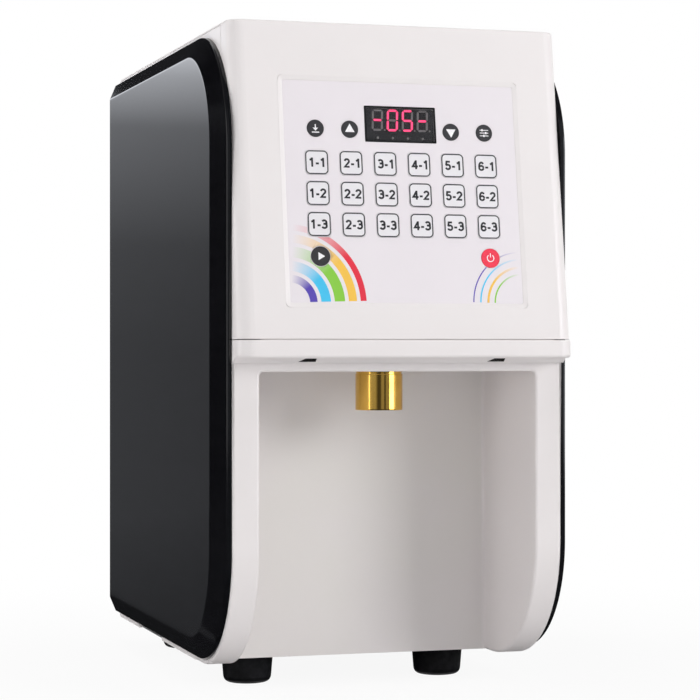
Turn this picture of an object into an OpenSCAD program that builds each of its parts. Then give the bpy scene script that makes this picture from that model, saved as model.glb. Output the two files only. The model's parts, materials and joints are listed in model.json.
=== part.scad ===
// Countertop powder dispenser: a keypad-driven auger machine with a lean-back head,
// a cup bay between two legs, glossy side panels and a brass outlet nozzle.
// The origin is on the floor under the middle of the machine. The front faces -Y.

/* [Overall] */
// Height from the floor to the top of the lid
overall_h = 447; // [440:1:460]
// Depth from the front of the lip to the back of the rear cover
depth = 393.6; // [386:0.2:402]
// Width across the white body, without the side panels
body_w = 227.5; // [224:0.5:234]
// Thickness of the moulded walls
wall = 3; // [2.6:0.1:3.2]
// Thickness of the body's side walls
side_t = 2.5; // [2:0.1:3]
// Height of the feet under the body
foot_h = 20.3; // [17:0.1:24]

/* [Head] */
// Height of the seam between the head and the lip
seam_z = 239; // [234:1:244]
// Gap that shows as the seam
seam_gap = 0.4; // [0.3:0.1:0.8]
// How far the head's face leans back at its top
head_lean = 30.9; // [27:0.1:34]
// Depth of the head from the front of the lip to the lid
head_depth = 53.6; // [51:0.1:56]
// How far the head's face stands behind the lip's front at its bottom
head_setback = 2.6; // [1.6:0.1:3.6]
// Radius of the head's upright front edges
head_r = 10; // [8:0.5:12]
// Radius of the head's top edges
head_edge_r = 1.5; // [1:0.1:1.5]

/* [Lip, legs and cup bay] */
// Height of the lip's front face
lip_h = 11.6; // [10:0.1:13]
// How far the lip stands in front of the legs
lip_overhang = 24.2; // [22:0.1:26]
// Radius of the lip's front corners
lip_r = 10; // [8:0.5:12]
// Drop of the sloping strip under the lip
lip_drop = 3.4; // [2.5:0.1:4.5]
// Depth of the sloping strip
lip_slope = 4.6; // [4:0.1:6]
// Distance from the sloping strip to the legs' front faces
lip_land = 3.6; // [2:0.1:5]
// Height of the header strip between the lip and the bay
header_h = 5.6; // [4:0.1:7]
// Width of the cup bay
bay_w = 190.6; // [186:0.2:194]
// Depth of the cup bay behind the legs' front faces
bay_depth = 99.4; // [94:0.2:102]
// Radius of the bay's top corners
bay_r = 3; // [2:0.5:5]
// Radius of the legs' lower front corners
leg_r = 84; // [76:1:88]
// Width of the light slots under the lip
slot_w = 12; // [8:0.5:15]
// Distance between the light slots
slot_pitch = 130; // [110:1:150]

/* [Side panels] */
// Thickness of a side panel at its edge
panel_edge = 3.2; // [2.8:0.1:3.6]
// Rise of a side panel's bevels
panel_crown = 4.8; // [4:0.1:5.5]
// Radius of a side panel's front corners
panel_r = 80; // [72:1:84]
// Radius of the flat face's front corners
face_r = 66; // [60:1:68]
// Width of the front bevel
front_bevel = 28.5; // [25:0.5:32]
// Width of the top and bottom bevels
rim_bevel = 11.4; // [9:0.2:13]
// Strip of white body above and below a side panel
panel_margin = 4.4; // [3.8:0.1:5]
// Wall of the hollow side panel
panel_wall = 2.4; // [2:0.1:2.8]

/* [Keypad] */
// Width of the printed overlay film
film_w = 159.6; // [158:0.2:164]
// Height of the overlay film along the face
film_h = 147; // [144:0.5:150]
// Lower edge of the overlay film above the head's bottom edge, along the face
film_s = 23.6; // [21:0.1:26]
// Width of the open rim around the film
film_rim = 3; // [2:0.1:4]
// Thickness of the film and its backing
film_t = 0.8; // [0.6:0.1:0.9]
// Depth of the recess that holds the film
recess = 1.5; // [1.4:0.1:1.7]
// Sideways pitch of the dose keys
key_pitch_x = 23.3; // [22:0.1:24]
// Pitch of the dose keys along the face
key_pitch_s = 20.4; // [19:0.1:21]
// Top row of dose keys above the head's bottom edge
key_row_s = 116; // [114:0.5:117]
// Width of a dose key
key_w = 16; // [14:0.2:17]
// Height of a dose key
key_h = 16.4; // [14:0.2:17]
// Corner radius of a dose key
key_r = 3; // [2:0.2:4]
// Radius of the round setting keys
set_key_r = 5.9; // [5:0.1:6.4]
// Height of the setting keys along the face
set_key_s = 138.6; // [137:0.2:140]
// Radius of the two lower keys
low_key_r = 6.6; // [5.5:0.1:7.2]
// Height of the lower keys along the face
low_key_s = 54.2; // [50:0.2:57]
// Travel of a key
key_travel = 0.4; // [0.2:0.05:0.4]
// Gap around a key
key_gap = 0.2; // [0.15:0.05:0.3]
// Width of the display window
window_w = 49.4; // [46:0.2:51]
// Height of the display window
window_h = 24.4; // [22:0.2:25]
// Middle of the display window above the head's bottom edge
window_s = 142.7; // [142:0.1:144]

/* [Outlet nozzle] */
// Outer radius of the nozzle
nozzle_r = 16; // [15:0.1:17]
// Bore radius of the nozzle
nozzle_bore_r = 13; // [11:0.1:13]
// Length of the nozzle below its groove
nozzle_len = 24.4; // [20:0.2:28]
// Nozzle axis behind the legs' front faces
nozzle_setback = 46; // [44:0.5:48]

/* [Powder drive] */
// Inner radius of the auger trough and tube
trough_r = 16; // [15:0.1:17]
// Wall of the hopper
hopper_wall = 2.5; // [2:0.1:3]
// Gap between the auger flight and its trough
flight_gap = 1; // [0.6:0.1:1.4]
// Pitch of the auger flight
flight_pitch = 24; // [20:0.5:30]
// Axial thickness of the auger flight
flight_t = 2.4; // [2:0.1:3]
// Radius of the auger and agitator shafts
shaft_r = 4.5; // [4:0.1:5]
// Running clearance of a shaft in its bush
run_gap = 0.05; // [0.03:0.01:0.08]
// Reach of the agitator rods
agitator_r = 30; // [26:0.5:31]
// Module of the gears
gear_m = 1.5; // [1.4:0.02:1.56]
// Teeth of the motor pinion
pinion_teeth = 18; // [17:1:20]
// Teeth of the auger gear
auger_teeth = 30; // [28:1:32]
// Teeth of the agitator gear
agitator_teeth = 34; // [32:1:36]
// Face width of the gears
gear_w = 8; // [6:0.5:10]
// Play between meshing teeth
backlash = 0.2; // [0.12:0.02:0.3]
// Radius of the motor's body
motor_r = 18.5; // [16:0.5:19]
// Length of the motor's body
motor_len = 58; // [50:1:62]

/* [Feet and lid] */
// Radius of a foot at its top
foot_r = 18; // [16:0.5:20]
// Sideways distance between the feet
foot_pitch_x = 140.8; // [130:0.4:150]
// Distance between the front and rear feet
foot_pitch_y = 194; // [180:1:205]
// Front feet behind the bay's back wall
foot_setback = 30; // [26:0.5:34]
// Thickness of the lid's plate
lid_t = 4.4; // [4:0.1:5]
// Thickness of the lid's edges over the side walls
lid_edge_t = 1.6; // [1.5:0.1:2]
// Gap around the lid
lid_gap = 0.5; // [0.4:0.1:0.8]
// Radius of the hinge knuckles
hinge_r = 4.5; // [4:0.1:4.8]
// Radius of the hinge pins
hinge_pin_r = 2; // [1.6:0.1:2.4]

/* [Hidden] */
$fn = 48;
eps = 0.02;

// Colours
white = [0.93, 0.92, 0.92];
black = [0.08, 0.08, 0.09];
rubber = [0.06, 0.06, 0.07];
brass = [0.75, 0.58, 0.22];
steel = [0.66, 0.67, 0.69];
board_green = [0.1, 0.35, 0.2];
key_white = [0.95, 0.95, 0.96];
key_dark = [0.2, 0.2, 0.22];
key_red = [0.85, 0.15, 0.22];

// Body planes
front_y = -depth / 2;
rear_y = depth / 2;
side_x = body_w / 2;
inner_x = side_x - side_t;
bottom_z = foot_h;
leg_y = front_y + lip_overhang;
bay_back_y = leg_y + bay_depth;
lip_z = seam_z - lip_h;
bay_top_z = lip_z - lip_drop - header_h;
strip_y = leg_y - lip_land - lip_slope;
fit_gap = 0.2;
cover_t = 2.5;
cover_bulge = 2.3;
cover_y = rear_y - cover_bulge - cover_t;
shell_rear_y = cover_y - fit_gap;
lid_z = overall_h - lid_t;
lid_rest_gap = 0.3;
wall_top_z = lid_z - lid_rest_gap;
side_top_z = overall_h - lid_edge_t - lid_rest_gap;
head_rear_y = front_y + head_depth;
lid_front_y = head_rear_y + lid_gap;

// Bay ceiling and the deck that rests on it
ceiling_rise = 3.6;
ceiling_z = bay_top_z + ceiling_rise;
deck_z = ceiling_z + wall;
deck_t = 2.5;
deck_top_z = deck_z + deck_t;
deck_overlap = 24;
deck_front_y = bay_back_y + wall - deck_overlap;
deck_flange = 13;
base_t = 2.5;
base_top_z = bottom_z + base_t;
base_front_y = bay_back_y + wall;

// Head face frame
head_y = front_y + head_setback;
head_z = seam_z + seam_gap;
head_tilt = atan(head_lean / (overall_h - head_z));

// Side panel planes
panel_setback = 0.4;
panel_rear_r = 2;
panel_y = leg_y + panel_setback;
panel_top_z = overall_h - panel_margin;
panel_bottom_z = bottom_z + panel_margin;
panel_rear_y = rear_y - cover_bulge;
panel_depth = panel_edge + panel_crown;

// Keypad stack, measured outward from the head's face
film_top_n = film_t - recess;
key_rise = 0.3;
key_top_n = film_top_n + key_rise;
key_t = 0.5;
key_floor_n = key_top_n - key_t;
stem_r = 2;
stem_gap = 0.4;
stem_len = 4.3;
stem_end_n = key_floor_n - stem_len;
tact_w = 6;
tact_h = 3.2;
tact_button_r = 1.7;
tact_gap = key_travel + 0.1;
tact_button_h = 0.9;
board_n = stem_end_n - tact_gap - tact_button_h - tact_h;
board_t = 1.6;
board_w = film_w - 14;
board_h = film_h - 24;
board_s = film_s + film_h / 2;
boss_r = 3;
board_boss_inset = 4;
window_rim = 1.4;
display_gap = 0.3;

// Powder drive places
drive_foot_h = 16;
auger_z = deck_top_z + drive_foot_h + hopper_wall + trough_r;
agitator_z = auger_z + gear_m * (auger_teeth + agitator_teeth) / 2;
pinion_angle = 20;
pinion_reach = gear_m * (auger_teeth + pinion_teeth) / 2;
pinion_x = pinion_reach * cos(pinion_angle);
pinion_z = auger_z + pinion_reach * sin(pinion_angle);
nozzle_y = leg_y + nozzle_setback;
tube_end_t = 4;
tube_front_y = nozzle_y - trough_r - tube_end_t;
hopper_setback = 1;
hopper_front_y = nozzle_y + trough_r + hopper_wall + hopper_setback;
drive_space = 89;
hopper_rear_y = shell_rear_y - drive_space;
gear_setback = 7;
gear_y = hopper_rear_y + gear_setback;
bracket_gap = 5;
bracket_y = gear_y + gear_w + bracket_gap;
bracket_t = 2.5;
motor_y = bracket_y + bracket_t;
shaft_over = 3;
shaft_end_y = gear_y + gear_w + shaft_over;
bush_r = 7;
bush_flange_r = 9;
bush_flange_t = 1.2;
rim_drop = 6.3;
rim_z = wall_top_z - rim_drop;
rim_t = 3;
rim_w = 6;
ledge_w = 7.2;
ledge_h = 5;
hopper_clear = 1.5;
hopper_x = inner_x - ledge_w - hopper_clear - hopper_wall;
shoulder_drop = 70;
shoulder_z = rim_z - shoulder_drop;
hopper_slope = (shoulder_z - auger_z) / (hopper_x - trough_r);
slope_wall = hopper_wall * sqrt(1 + 1 / pow(hopper_slope, 2));
pressure_angle = 20;

// Nozzle levels
groove_h = 1.2;
groove_depth = 0.5;
collar_h = 4.4;
nozzle_top_z = ceiling_z;
groove_z = nozzle_top_z - collar_h - groove_h;
nozzle_z = groove_z - nozzle_len;
neck_step = 1;
neck_r = nozzle_r - neck_step;
seal_h = 2;
stub_len = 4;
stub_z = auger_z - trough_r - hopper_wall - stub_len;
neck_top_z = stub_z - seal_h;
collar_nut_r = 22;
collar_nut_h = 6;

// Hinge of the lid
hinge_y = rear_y - hinge_r;
hinge_drop = 0.6;
hinge_z = lid_z - hinge_r - hinge_drop;
hinge_x = 62;
knuckle_w = 24;
knuckle_gap = 0.3;
rail_setback = 14;
rail_y = hinge_y - rail_setback;
rail_d = 8;
rail_h = 7;

// Feet and screws
foot_front_y = bay_back_y + foot_setback;
foot_rear_y = foot_front_y + foot_pitch_y;
foot_flange = 1.5;
foot_flange_r = foot_r + foot_flange;
foot_flange_t = 1.5;
foot_edge_r = 5;
foot_taper = 1.5;
screw_r = 2;
screw_head_r = 3.8;
screw_head_h = 2.2;
screw_len = 10;
screw_gap = 0.1;
screw_inset = 10;
cover_screw_low = 30;
cover_screw_mid = 14;
cover_screw_high = 24;
foot_floor = 5;

// Mains inlet and switch on the rear cover
inlet_x = 62;
inlet_rise = 44;
inlet_z = bottom_z + inlet_rise;
inlet_w = 27;
inlet_h = 19.6;
inlet_d = 20;
switch_x = 20;
switch_w = 15;
switch_h = 21;
switch_d = 16;
bezel_w = 2.5;
bezel_t = 1.6;
rocker_gap = 0.3;
rocker_angle = 8;

// Extrudes a profile drawn in Y and Z from x0 to x1.
module along_x(x0, x1) {
    translate([x0, 0, 0]) rotate([90, 0, 90]) linear_extrude(x1 - x0) children();
}

// Extrudes a profile drawn in X and Z from y0 to y1.
module along_y(y0, y1) {
    translate([0, y1, 0]) rotate([90, 0, 0]) linear_extrude(y1 - y0) children();
}

// A round bar along Y.
module bar_y(x, z, r, y0, y1) {
    translate([x, y0, z]) rotate([-90, 0, 0]) cylinder(r = r, h = y1 - y0);
}

// A round bar along X.
module bar_x(y, z, r, x0, x1) {
    translate([x0, y, z]) rotate([0, 90, 0]) cylinder(r = r, h = x1 - x0);
}

// A block between two corners.
module block(low, high) {
    translate(low) cube(high - low);
}

// Places children on the head's face: x to the right, y up the face, z outward.
module on_face() {
    translate([0, head_y, head_z]) rotate([90 - head_tilt, 0, 0]) children();
}

// A rounded rectangle plate standing on z = 0.
module rounded_plate(w, h, r, t) {
    translate([-w / 2 + r, -h / 2, 0]) cube([w - 2 * r, h, t]);
    translate([-w / 2, -h / 2 + r, 0]) cube([w, h - 2 * r, t]);
    for (x = [-1, 1])
        for (y = [-1, 1])
            translate([x * (w / 2 - r), y * (h / 2 - r), 0]) cylinder(r = r, h = t);
}

// Side profile of a leg, with its round lower front corner, drawn in Y and Z.
module leg_profile(inset, y1, z1) {
    y0 = leg_y + inset;
    z0 = bottom_z + inset;
    r = leg_r - inset;
    difference() {
        translate([y0, z0]) square([y1 - y0, z1 - z0]);
        difference() {
            translate([y0 - 1, z0 - 1]) square(r + 1);
            translate([y0 + r, z0 + r]) circle(r, $fn = 128);
        }
    }
}

// One leg: a front wall, a bottom wall and the bay's side wall, open to the outside.
module leg() {
    rear = bay_back_y + wall;
    difference() {
        along_x(bay_w / 2, side_x) leg_profile(0, rear, lip_z - lip_drop);
        along_x(bay_w / 2 + wall, side_x + 1) leg_profile(wall, rear + 1, lip_z);
    }
}

// Lip: a front ledge with round corners, a sloping strip under it and a pocket in each end.
module lip() {
    back = leg_y + wall;
    low = lip_z - lip_drop;
    pocket_w = 14;
    pocket_x = side_x - wall - pocket_w / 2;
    difference() {
        intersection() {
            along_x(-side_x, side_x)
                polygon([
                    [front_y, lip_z], [front_y, seam_z], [back, seam_z],
                    [back, low], [strip_y + lip_slope, low], [strip_y, lip_z]
                ]);
            union() {
                block([-side_x, front_y + lip_r, 0], [side_x, back, seam_z]);
                block([-side_x + lip_r, front_y, 0], [side_x - lip_r, back, seam_z]);
                for (x = [-1, 1])
                    translate([x * (side_x - lip_r), front_y + lip_r, 0]) cylinder(r = lip_r, h = seam_z);
            }
        }
        for (x = [-1, 1])
            block([x * pocket_x - pocket_w / 2, front_y + 2 * wall, lip_z + wall],
                  [x * pocket_x + pocket_w / 2, leg_y - wall, seam_z + 1]);
    }
}

// Front moulding: legs, header strip, lip and the shelf that the head stands on.
module front_frame() {
    shelf_y = nozzle_y - trough_r - hopper_wall - 4;
    slot_h = 3;
    slot_rim = 0.6;
    color(white)
    difference() {
        union() {
            leg();
            mirror([1, 0, 0]) leg();
            lip();
            block([-side_x, leg_y, bay_top_z], [side_x, leg_y + wall, seam_z]);
            block([-inner_x + 1, leg_y, seam_z - wall], [inner_x - 1, shelf_y, seam_z]);
            for (x = [-1, 1])
                translate([x * bay_w / 2, 0, bay_top_z])
                    along_y(leg_y, leg_y + wall)
                        difference() {
                            translate([-bay_r, -bay_r]) square([2 * bay_r, bay_r]);
                            translate([-x * bay_r, -bay_r]) circle(bay_r);
                        }
        }
        for (x = [-1, 1])
            translate([x * slot_pitch / 2 - slot_w / 2, strip_y + slot_rim, lip_z - lip_drop])
                cube([slot_w, lip_slope - 2 * slot_rim, lip_drop + slot_h]);
    }
}

// Back wall and ceiling of the cup bay, bent from one sheet, with the nozzle's hole.
module bay_liner() {
    x = bay_w / 2 - 0.1;
    color(white)
    difference() {
        union() {
            block([-x, bay_back_y, bottom_z], [x, bay_back_y + wall, ceiling_z + wall]);
            block([-x, leg_y + wall + fit_gap, ceiling_z], [x, bay_back_y + wall, ceiling_z + wall]);
        }
        translate([0, nozzle_y, ceiling_z - 1]) cylinder(r = neck_r + fit_gap, h = wall + 2);
    }
}

// The head's outer form, drawn in by inset and lengthened down and back by extra.
module head_form(inset, extra) {
    r = head_r - inset;
    half = side_x - inset;
    rear = head_rear_y + extra;
    low = head_z - extra;
    drop = extra * head_lean / (overall_h - head_z);
    hull() {
        for (x = [-1, 1]) {
            translate([x * (half - r), head_y + inset + r - drop, low]) cylinder(r = r, h = eps, $fn = 32);
            translate([x * (half - r), head_y + head_lean + inset + r, overall_h - inset - head_edge_r])
                rotate_extrude($fn = 32)
                    translate([r - head_edge_r, 0]) circle(head_edge_r, $fn = 24);
            translate([x * (half - head_edge_r), rear - 1, overall_h - inset - head_edge_r])
                rotate([-90, 0, 0]) cylinder(r = head_edge_r, h = 1, $fn = 24);
            translate([x * (half - eps / 2) - eps / 2, rear - 1, low]) cube([eps, 1, 1]);
        }
    }
}

// Where each key stands on the face: column x and height s.
function column_x(c) = (c - 3.5) * key_pitch_x;
function row_s(r) = key_row_s - (r - 1) * key_pitch_s;
key_places = concat(
    [for (c = [1 : 6]) for (r = [1 : 3]) [column_x(c), row_s(r)]],
    [for (c = [1, 2, 5, 6]) [column_x(c), set_key_s]],
    [for (c = [1, 6]) [column_x(c), low_key_s]]
);
board_bosses = [
    for (x = [-1, 1])
        for (y = [-1, 1])
            [x * (board_w / 2 - board_boss_inset), board_s + y * (board_h / 2 - board_boss_inset)]
];

// Head moulding: a lean-back shell with the keypad's recess, stem holes and board bosses.
module head_panel() {
    big = 40;
    sill_w = 12;
    color(white)
    difference() {
        union() {
            difference() {
                head_form(0, 0);
                head_form(wall, 4);
            }
            on_face()
                for (p = board_bosses)
                    translate([p[0], p[1], board_n]) cylinder(r = boss_r, h = -board_n - wall + eps);
            for (x = [-1, 1])
                block([x * (side_x - sill_w / 2) - sill_w / 2, leg_y + wall, seam_z],
                      [x * (side_x - sill_w / 2) + sill_w / 2, head_rear_y, head_z + wall]);
        }
        block([-side_x - big, head_rear_y, head_z - 1], [side_x + big, head_rear_y + big, overall_h + 1]);
        on_face() {
            translate([0, film_s + film_h / 2, -recess])
                rounded_plate(film_w + 2 * film_rim, film_h + 2 * film_rim, 3, 2 * recess);
            for (p = key_places)
                translate([p[0], p[1], -2 * wall]) cylinder(r = stem_r + stem_gap, h = 2 * wall);
            translate([0, window_s, -2 * wall])
                rounded_plate(window_w - 2 * window_rim, window_h - 2 * window_rim, 1, 2 * wall);
        }
    }
}

// A dose key: a raised film pad with the stem that works its switch.
module dose_key(c, r) {
    color(key_white)
    on_face() translate([column_x(c), row_s(r), 0]) {
        translate([0, 0, key_floor_n])
            rounded_plate(key_w - 2 * key_gap, key_h - 2 * key_gap, key_r - key_gap, key_t);
        translate([0, 0, stem_end_n]) cylinder(r = stem_r, h = stem_len + key_t / 2);
    }
}

// A round key with the same stem.
module round_key(x, s, r, tint) {
    color(tint)
    on_face() translate([x, s, 0]) {
        translate([0, 0, key_floor_n]) cylinder(r = r - key_gap, h = key_t);
        translate([0, 0, stem_end_n]) cylinder(r = stem_r, h = stem_len + key_t / 2);
    }
}

// Printed film over the keypad, cut out around the keys and the window.
module keypad_overlay() {
    over = 1;
    color(key_white)
    on_face() difference() {
        translate([0, film_s + film_h / 2, -recess])
            rounded_plate(film_w, film_h, 2, film_t);
        for (c = [1 : 6])
            for (r = [1 : 3])
                translate([column_x(c), row_s(r), -recess - over])
                    rounded_plate(key_w, key_h, key_r, film_t + 2 * over);
        for (c = [1, 2, 5, 6])
            translate([column_x(c), set_key_s, -recess - over]) cylinder(r = set_key_r, h = film_t + 2 * over);
        for (c = [1, 6])
            translate([column_x(c), low_key_s, -recess - over]) cylinder(r = low_key_r, h = film_t + 2 * over);
        translate([0, window_s, -recess - over])
            rounded_plate(window_w, window_h, 1, film_t + 2 * over);
    }
}

// Dark lens in front of the digits.
module display_window() {
    color([0.1, 0.02, 0.03])
    on_face() translate([0, window_s, -recess])
        rounded_plate(window_w - 0.1, window_h - 0.1, 0.9, film_t);
}

// Four-digit module that stands on the keypad board behind the lens.
module led_display() {
    gap = window_rim + display_gap;
    color(key_dark)
    on_face() translate([0, window_s, board_n])
        rounded_plate(window_w - 2 * gap, window_h - 2 * gap, 0.7, -recess - 0.2 - board_n);
}

// Circuit board with one push switch behind each key.
module keypad_board() {
    color(board_green)
    on_face() {
        translate([0, board_s, board_n - board_t]) rounded_plate(board_w, board_h, 3, board_t);
        for (p = key_places)
            translate([p[0], p[1], board_n]) {
                translate([-tact_w / 2, -tact_w / 2, 0]) cube([tact_w, tact_w, tact_h]);
                cylinder(r = tact_button_r, h = tact_h + tact_button_h);
            }
    }
}

// One side wall: it closes the leg, carries the hopper's ledge and stops at the head's seam.
module side_wall() {
    rear_part = base_front_y + fit_gap;
    notch_y = base_front_y + 108;
    notch_len = 80;
    notch_h = 2.6;
    ledge_y = hopper_front_y - 4;
    inset = wall + fit_gap;
    flange_w = 18;
    difference() {
        union() {
            along_x(inner_x, side_x) leg_profile(inset, rear_part, seam_z - wall);
            block([inner_x, head_rear_y + 0.3, seam_z - 2 * wall], [side_x, rear_part, side_top_z]);
            block([inner_x, rear_part, bottom_z], [side_x, shell_rear_y, side_top_z]);
            block([inner_x - ledge_w, ledge_y, rim_z - rim_t - ledge_h],
                  [inner_x + eps, hopper_rear_y + 4, rim_z - rim_t]);
            block([inner_x - flange_w, shell_rear_y - side_t, bottom_z + 20],
                  [inner_x + eps, shell_rear_y, hinge_z - hinge_r - 4]);
        }
        for (p = cover_screw_places)
            bar_y(p[0], p[1], screw_r + screw_gap, shell_rear_y - side_t - 1, shell_rear_y + 1);
        block([inner_x - 1, notch_y, bottom_z - 1], [side_x + 1, notch_y + notch_len, bottom_z + notch_h]);
    }
}

module side_wall_right() {
    color(white) side_wall();
}

module side_wall_left() {
    color(white) mirror([1, 0, 0]) side_wall();
}

// A bevelled panel form: the edge slab and the flat face in one skin, drawn in by inset.
module panel_form(inset, base) {
    edge_x = side_x + base;
    y0 = panel_y + inset;
    y1 = panel_rear_y - inset;
    z0 = panel_bottom_z + inset;
    z1 = panel_top_z - inset;
    r = panel_r - inset;
    edge_top = side_x + panel_edge - inset / 2;
    face_top = side_x + panel_depth - inset;
    face_base = (edge_x + edge_top) / 2;
    hull() {
        for (z = [z0 + r, z1 - r])
            bar_x(y0 + r, z, r, edge_x, edge_top, $fn = 112);
        for (z = [z0 + panel_rear_r, z1 - panel_rear_r])
            bar_x(y1 - panel_rear_r, z, panel_rear_r, edge_x, edge_top, $fn = 24);
        for (z = [z0 + rim_bevel + face_r, z1 - rim_bevel - face_r])
            bar_x(y0 + front_bevel + face_r, z, face_r, face_base, face_top, $fn = 112);
        for (z = [z0 + rim_bevel + panel_rear_r, z1 - rim_bevel - panel_rear_r])
            bar_x(y1 - panel_rear_r, z, panel_rear_r, face_base, face_top, $fn = 24);
    }
}

// Glossy side panel: a bevelled shell with the bosses that its clips press into.
module side_panel() {
    boss = 5;
    difference() {
        panel_form(0, 0);
        difference() {
            panel_form(panel_wall, -1);
            for (y = [panel_y + panel_r, (panel_y + panel_rear_y) / 2, panel_rear_y - 30])
                for (z = [panel_bottom_z + panel_r, panel_top_z - panel_r])
                    bar_x(y, z, boss, side_x - 1, side_x + panel_depth);
        }
    }
}

module side_panel_right() {
    color(black) side_panel();
}

module side_panel_left() {
    color(black) mirror([1, 0, 0]) side_panel();
}

// Floor of the body: a tray with upturned edges, foot holes and air slots.
module base_plate() {
    x = inner_x - 0.3;
    flange = 18;
    rear = shell_rear_y - 1;
    air_slots = 8;
    air_w = 3;
    air_pitch = 12;
    air_len = 60;
    air_x = -inner_x / 2;
    air_y = foot_front_y + 2 * foot_flange_r;
    color(steel)
    difference() {
        block([-x, base_front_y, bottom_z], [x, rear, bottom_z + flange]);
        block([-x + base_t, base_front_y + base_t, base_top_z],
              [x - base_t, rear - base_t, bottom_z + flange + 1]);
        for (i = [0 : air_slots - 1])
            block([air_x + (i - (air_slots - 1) / 2) * air_pitch - air_w / 2, air_y, bottom_z - 1],
                  [air_x + (i - (air_slots - 1) / 2) * air_pitch + air_w / 2, air_y + air_len, base_top_z + 1]);
        foot_places() translate([0, 0, bottom_z - 1]) cylinder(r = screw_r + screw_gap, h = base_t + 2);
    }
}

// Repeats children at the four feet.
module foot_places() {
    for (x = [-1, 1])
        for (y = [foot_front_y, foot_rear_y])
            translate([x * foot_pitch_x / 2, y, 0]) children();
}

// Rubber feet: flanged, tapered and rounded below, with a recess for the screw head.
module feet() {
    low_r = foot_r - foot_taper;
    flange_z = foot_h - foot_flange_t;
    color(rubber)
    foot_places() difference() {
        rotate_extrude() {
            polygon([
                [0, 0], [low_r - foot_edge_r, 0], [low_r, foot_edge_r],
                [foot_r, flange_z], [foot_flange_r, flange_z], [foot_flange_r, foot_h], [0, foot_h]
            ]);
            translate([low_r - foot_edge_r, foot_edge_r]) circle(foot_edge_r);
        }
        translate([0, 0, -1]) cylinder(r = screw_head_r + 1, h = foot_h - foot_floor + 1);
        cylinder(r = screw_r + screw_gap, h = foot_h + 1);
    }
}

// A pan-head screw whose head sits at the origin and whose shank points along +Z.
module screw() {
    translate([0, 0, -screw_head_h]) cylinder(r = screw_head_r, h = screw_head_h);
    cylinder(r = screw_r, h = screw_len);
}

cover_screw_places = [
    for (x = [-1, 1])
        for (z = [bottom_z + cover_screw_low, deck_top_z + cover_screw_mid, hinge_z - cover_screw_high])
            [x * (inner_x - screw_inset), z]
];

// Screws of the feet and of the rear cover.
module housing_screws() {
    color(steel) {
        foot_places() translate([0, 0, foot_h - foot_floor]) screw();
        for (p = cover_screw_places)
            translate([p[0], cover_y + cover_t, p[1]]) rotate([90, 0, 0]) screw();
    }
}

// Back of the body: a plate with a raised field, louvre slots, and the inlet and switch cut-outs.
module rear_cover() {
    x = side_x - 0.3;
    low = bottom_z + 1;
    top = hinge_z - hinge_r - 1;
    field_margin = 22;
    field_x = x - field_margin;
    field_edge = 12;
    field_r = 10;
    louvre_n = 9;
    louvre_w = 90;
    louvre_h = 3;
    louvre_pitch = 10;
    louvre_rise = 60;
    louvre_z = inlet_z + louvre_rise;
    louvre_gap = 8;
    color(white)
    difference() {
        union() {
            block([-x, cover_y, low], [x, cover_y + cover_t, top]);
            translate([0, cover_y + cover_t, (low + top) / 2])
                rotate([-90, 0, 0])
                    rounded_plate(2 * field_x, top - low - 2 * field_edge, field_r, cover_bulge);
        }
        for (p = cover_screw_places)
            bar_y(p[0], p[1], screw_r + screw_gap, cover_y - 1, rear_y + 1);
        for (i = [0 : louvre_n - 1])
            for (s = [-1, 1])
                translate([s * (louvre_w + louvre_gap) / 2, 0, louvre_z + i * louvre_pitch])
                    block([-louvre_w / 2, cover_y - 1, 0], [louvre_w / 2, rear_y + 1, louvre_h]);
        block([inlet_x - inlet_w / 2 - fit_gap, cover_y - 1, inlet_z - inlet_h / 2 - fit_gap],
              [inlet_x + inlet_w / 2 + fit_gap, rear_y + 1, inlet_z + inlet_h / 2 + fit_gap]);
        block([switch_x - switch_w / 2 - fit_gap, cover_y - 1, inlet_z - switch_h / 2 - fit_gap],
              [switch_x + switch_w / 2 + fit_gap, rear_y + 1, inlet_z + switch_h / 2 + fit_gap]);
        block([inlet_x - inlet_w / 2 - bezel_w - 1, cover_y + cover_t, inlet_z - switch_h / 2 - bezel_w - 1],
              [inlet_x + inlet_w / 2 + bezel_w + 1, rear_y + 1, inlet_z + switch_h / 2 + bezel_w + 1]);
        block([switch_x - switch_w / 2 - bezel_w - 1, cover_y + cover_t, inlet_z - switch_h / 2 - bezel_w - 1],
              [switch_x + switch_w / 2 + bezel_w + 1, rear_y + 1, inlet_z + switch_h / 2 + bezel_w + 1]);
    }
}

// Appliance inlet with its three contact pins.
module power_inlet() {
    pin_t = 2;
    pin_h = 4;
    pin_pitch = 14;
    skin = 1.6;
    cavity = 15;
    out = cover_y + cover_t;
    color(black)
    difference() {
        union() {
            block([inlet_x - inlet_w / 2, out - inlet_d, inlet_z - inlet_h / 2],
                  [inlet_x + inlet_w / 2, out + bezel_t, inlet_z + inlet_h / 2]);
            block([inlet_x - inlet_w / 2 - bezel_w, out, inlet_z - inlet_h / 2 - bezel_w],
                  [inlet_x + inlet_w / 2 + bezel_w, out + bezel_t, inlet_z + inlet_h / 2 + bezel_w]);
        }
        difference() {
            block([inlet_x - inlet_w / 2 + skin, out + bezel_t - cavity, inlet_z - inlet_h / 2 + skin],
                  [inlet_x + inlet_w / 2 - skin, out + bezel_t + 1, inlet_z + inlet_h / 2 - skin]);
            for (p = [[-pin_pitch / 2, 1], [pin_pitch / 2, 1], [0, 5]])
                block([inlet_x + p[0] - pin_t / 2, out - inlet_d, inlet_z + p[1] - pin_h / 2],
                      [inlet_x + p[0] + pin_t / 2, out - 2, inlet_z + p[1] + pin_h / 2]);
        }
    }
}

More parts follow.
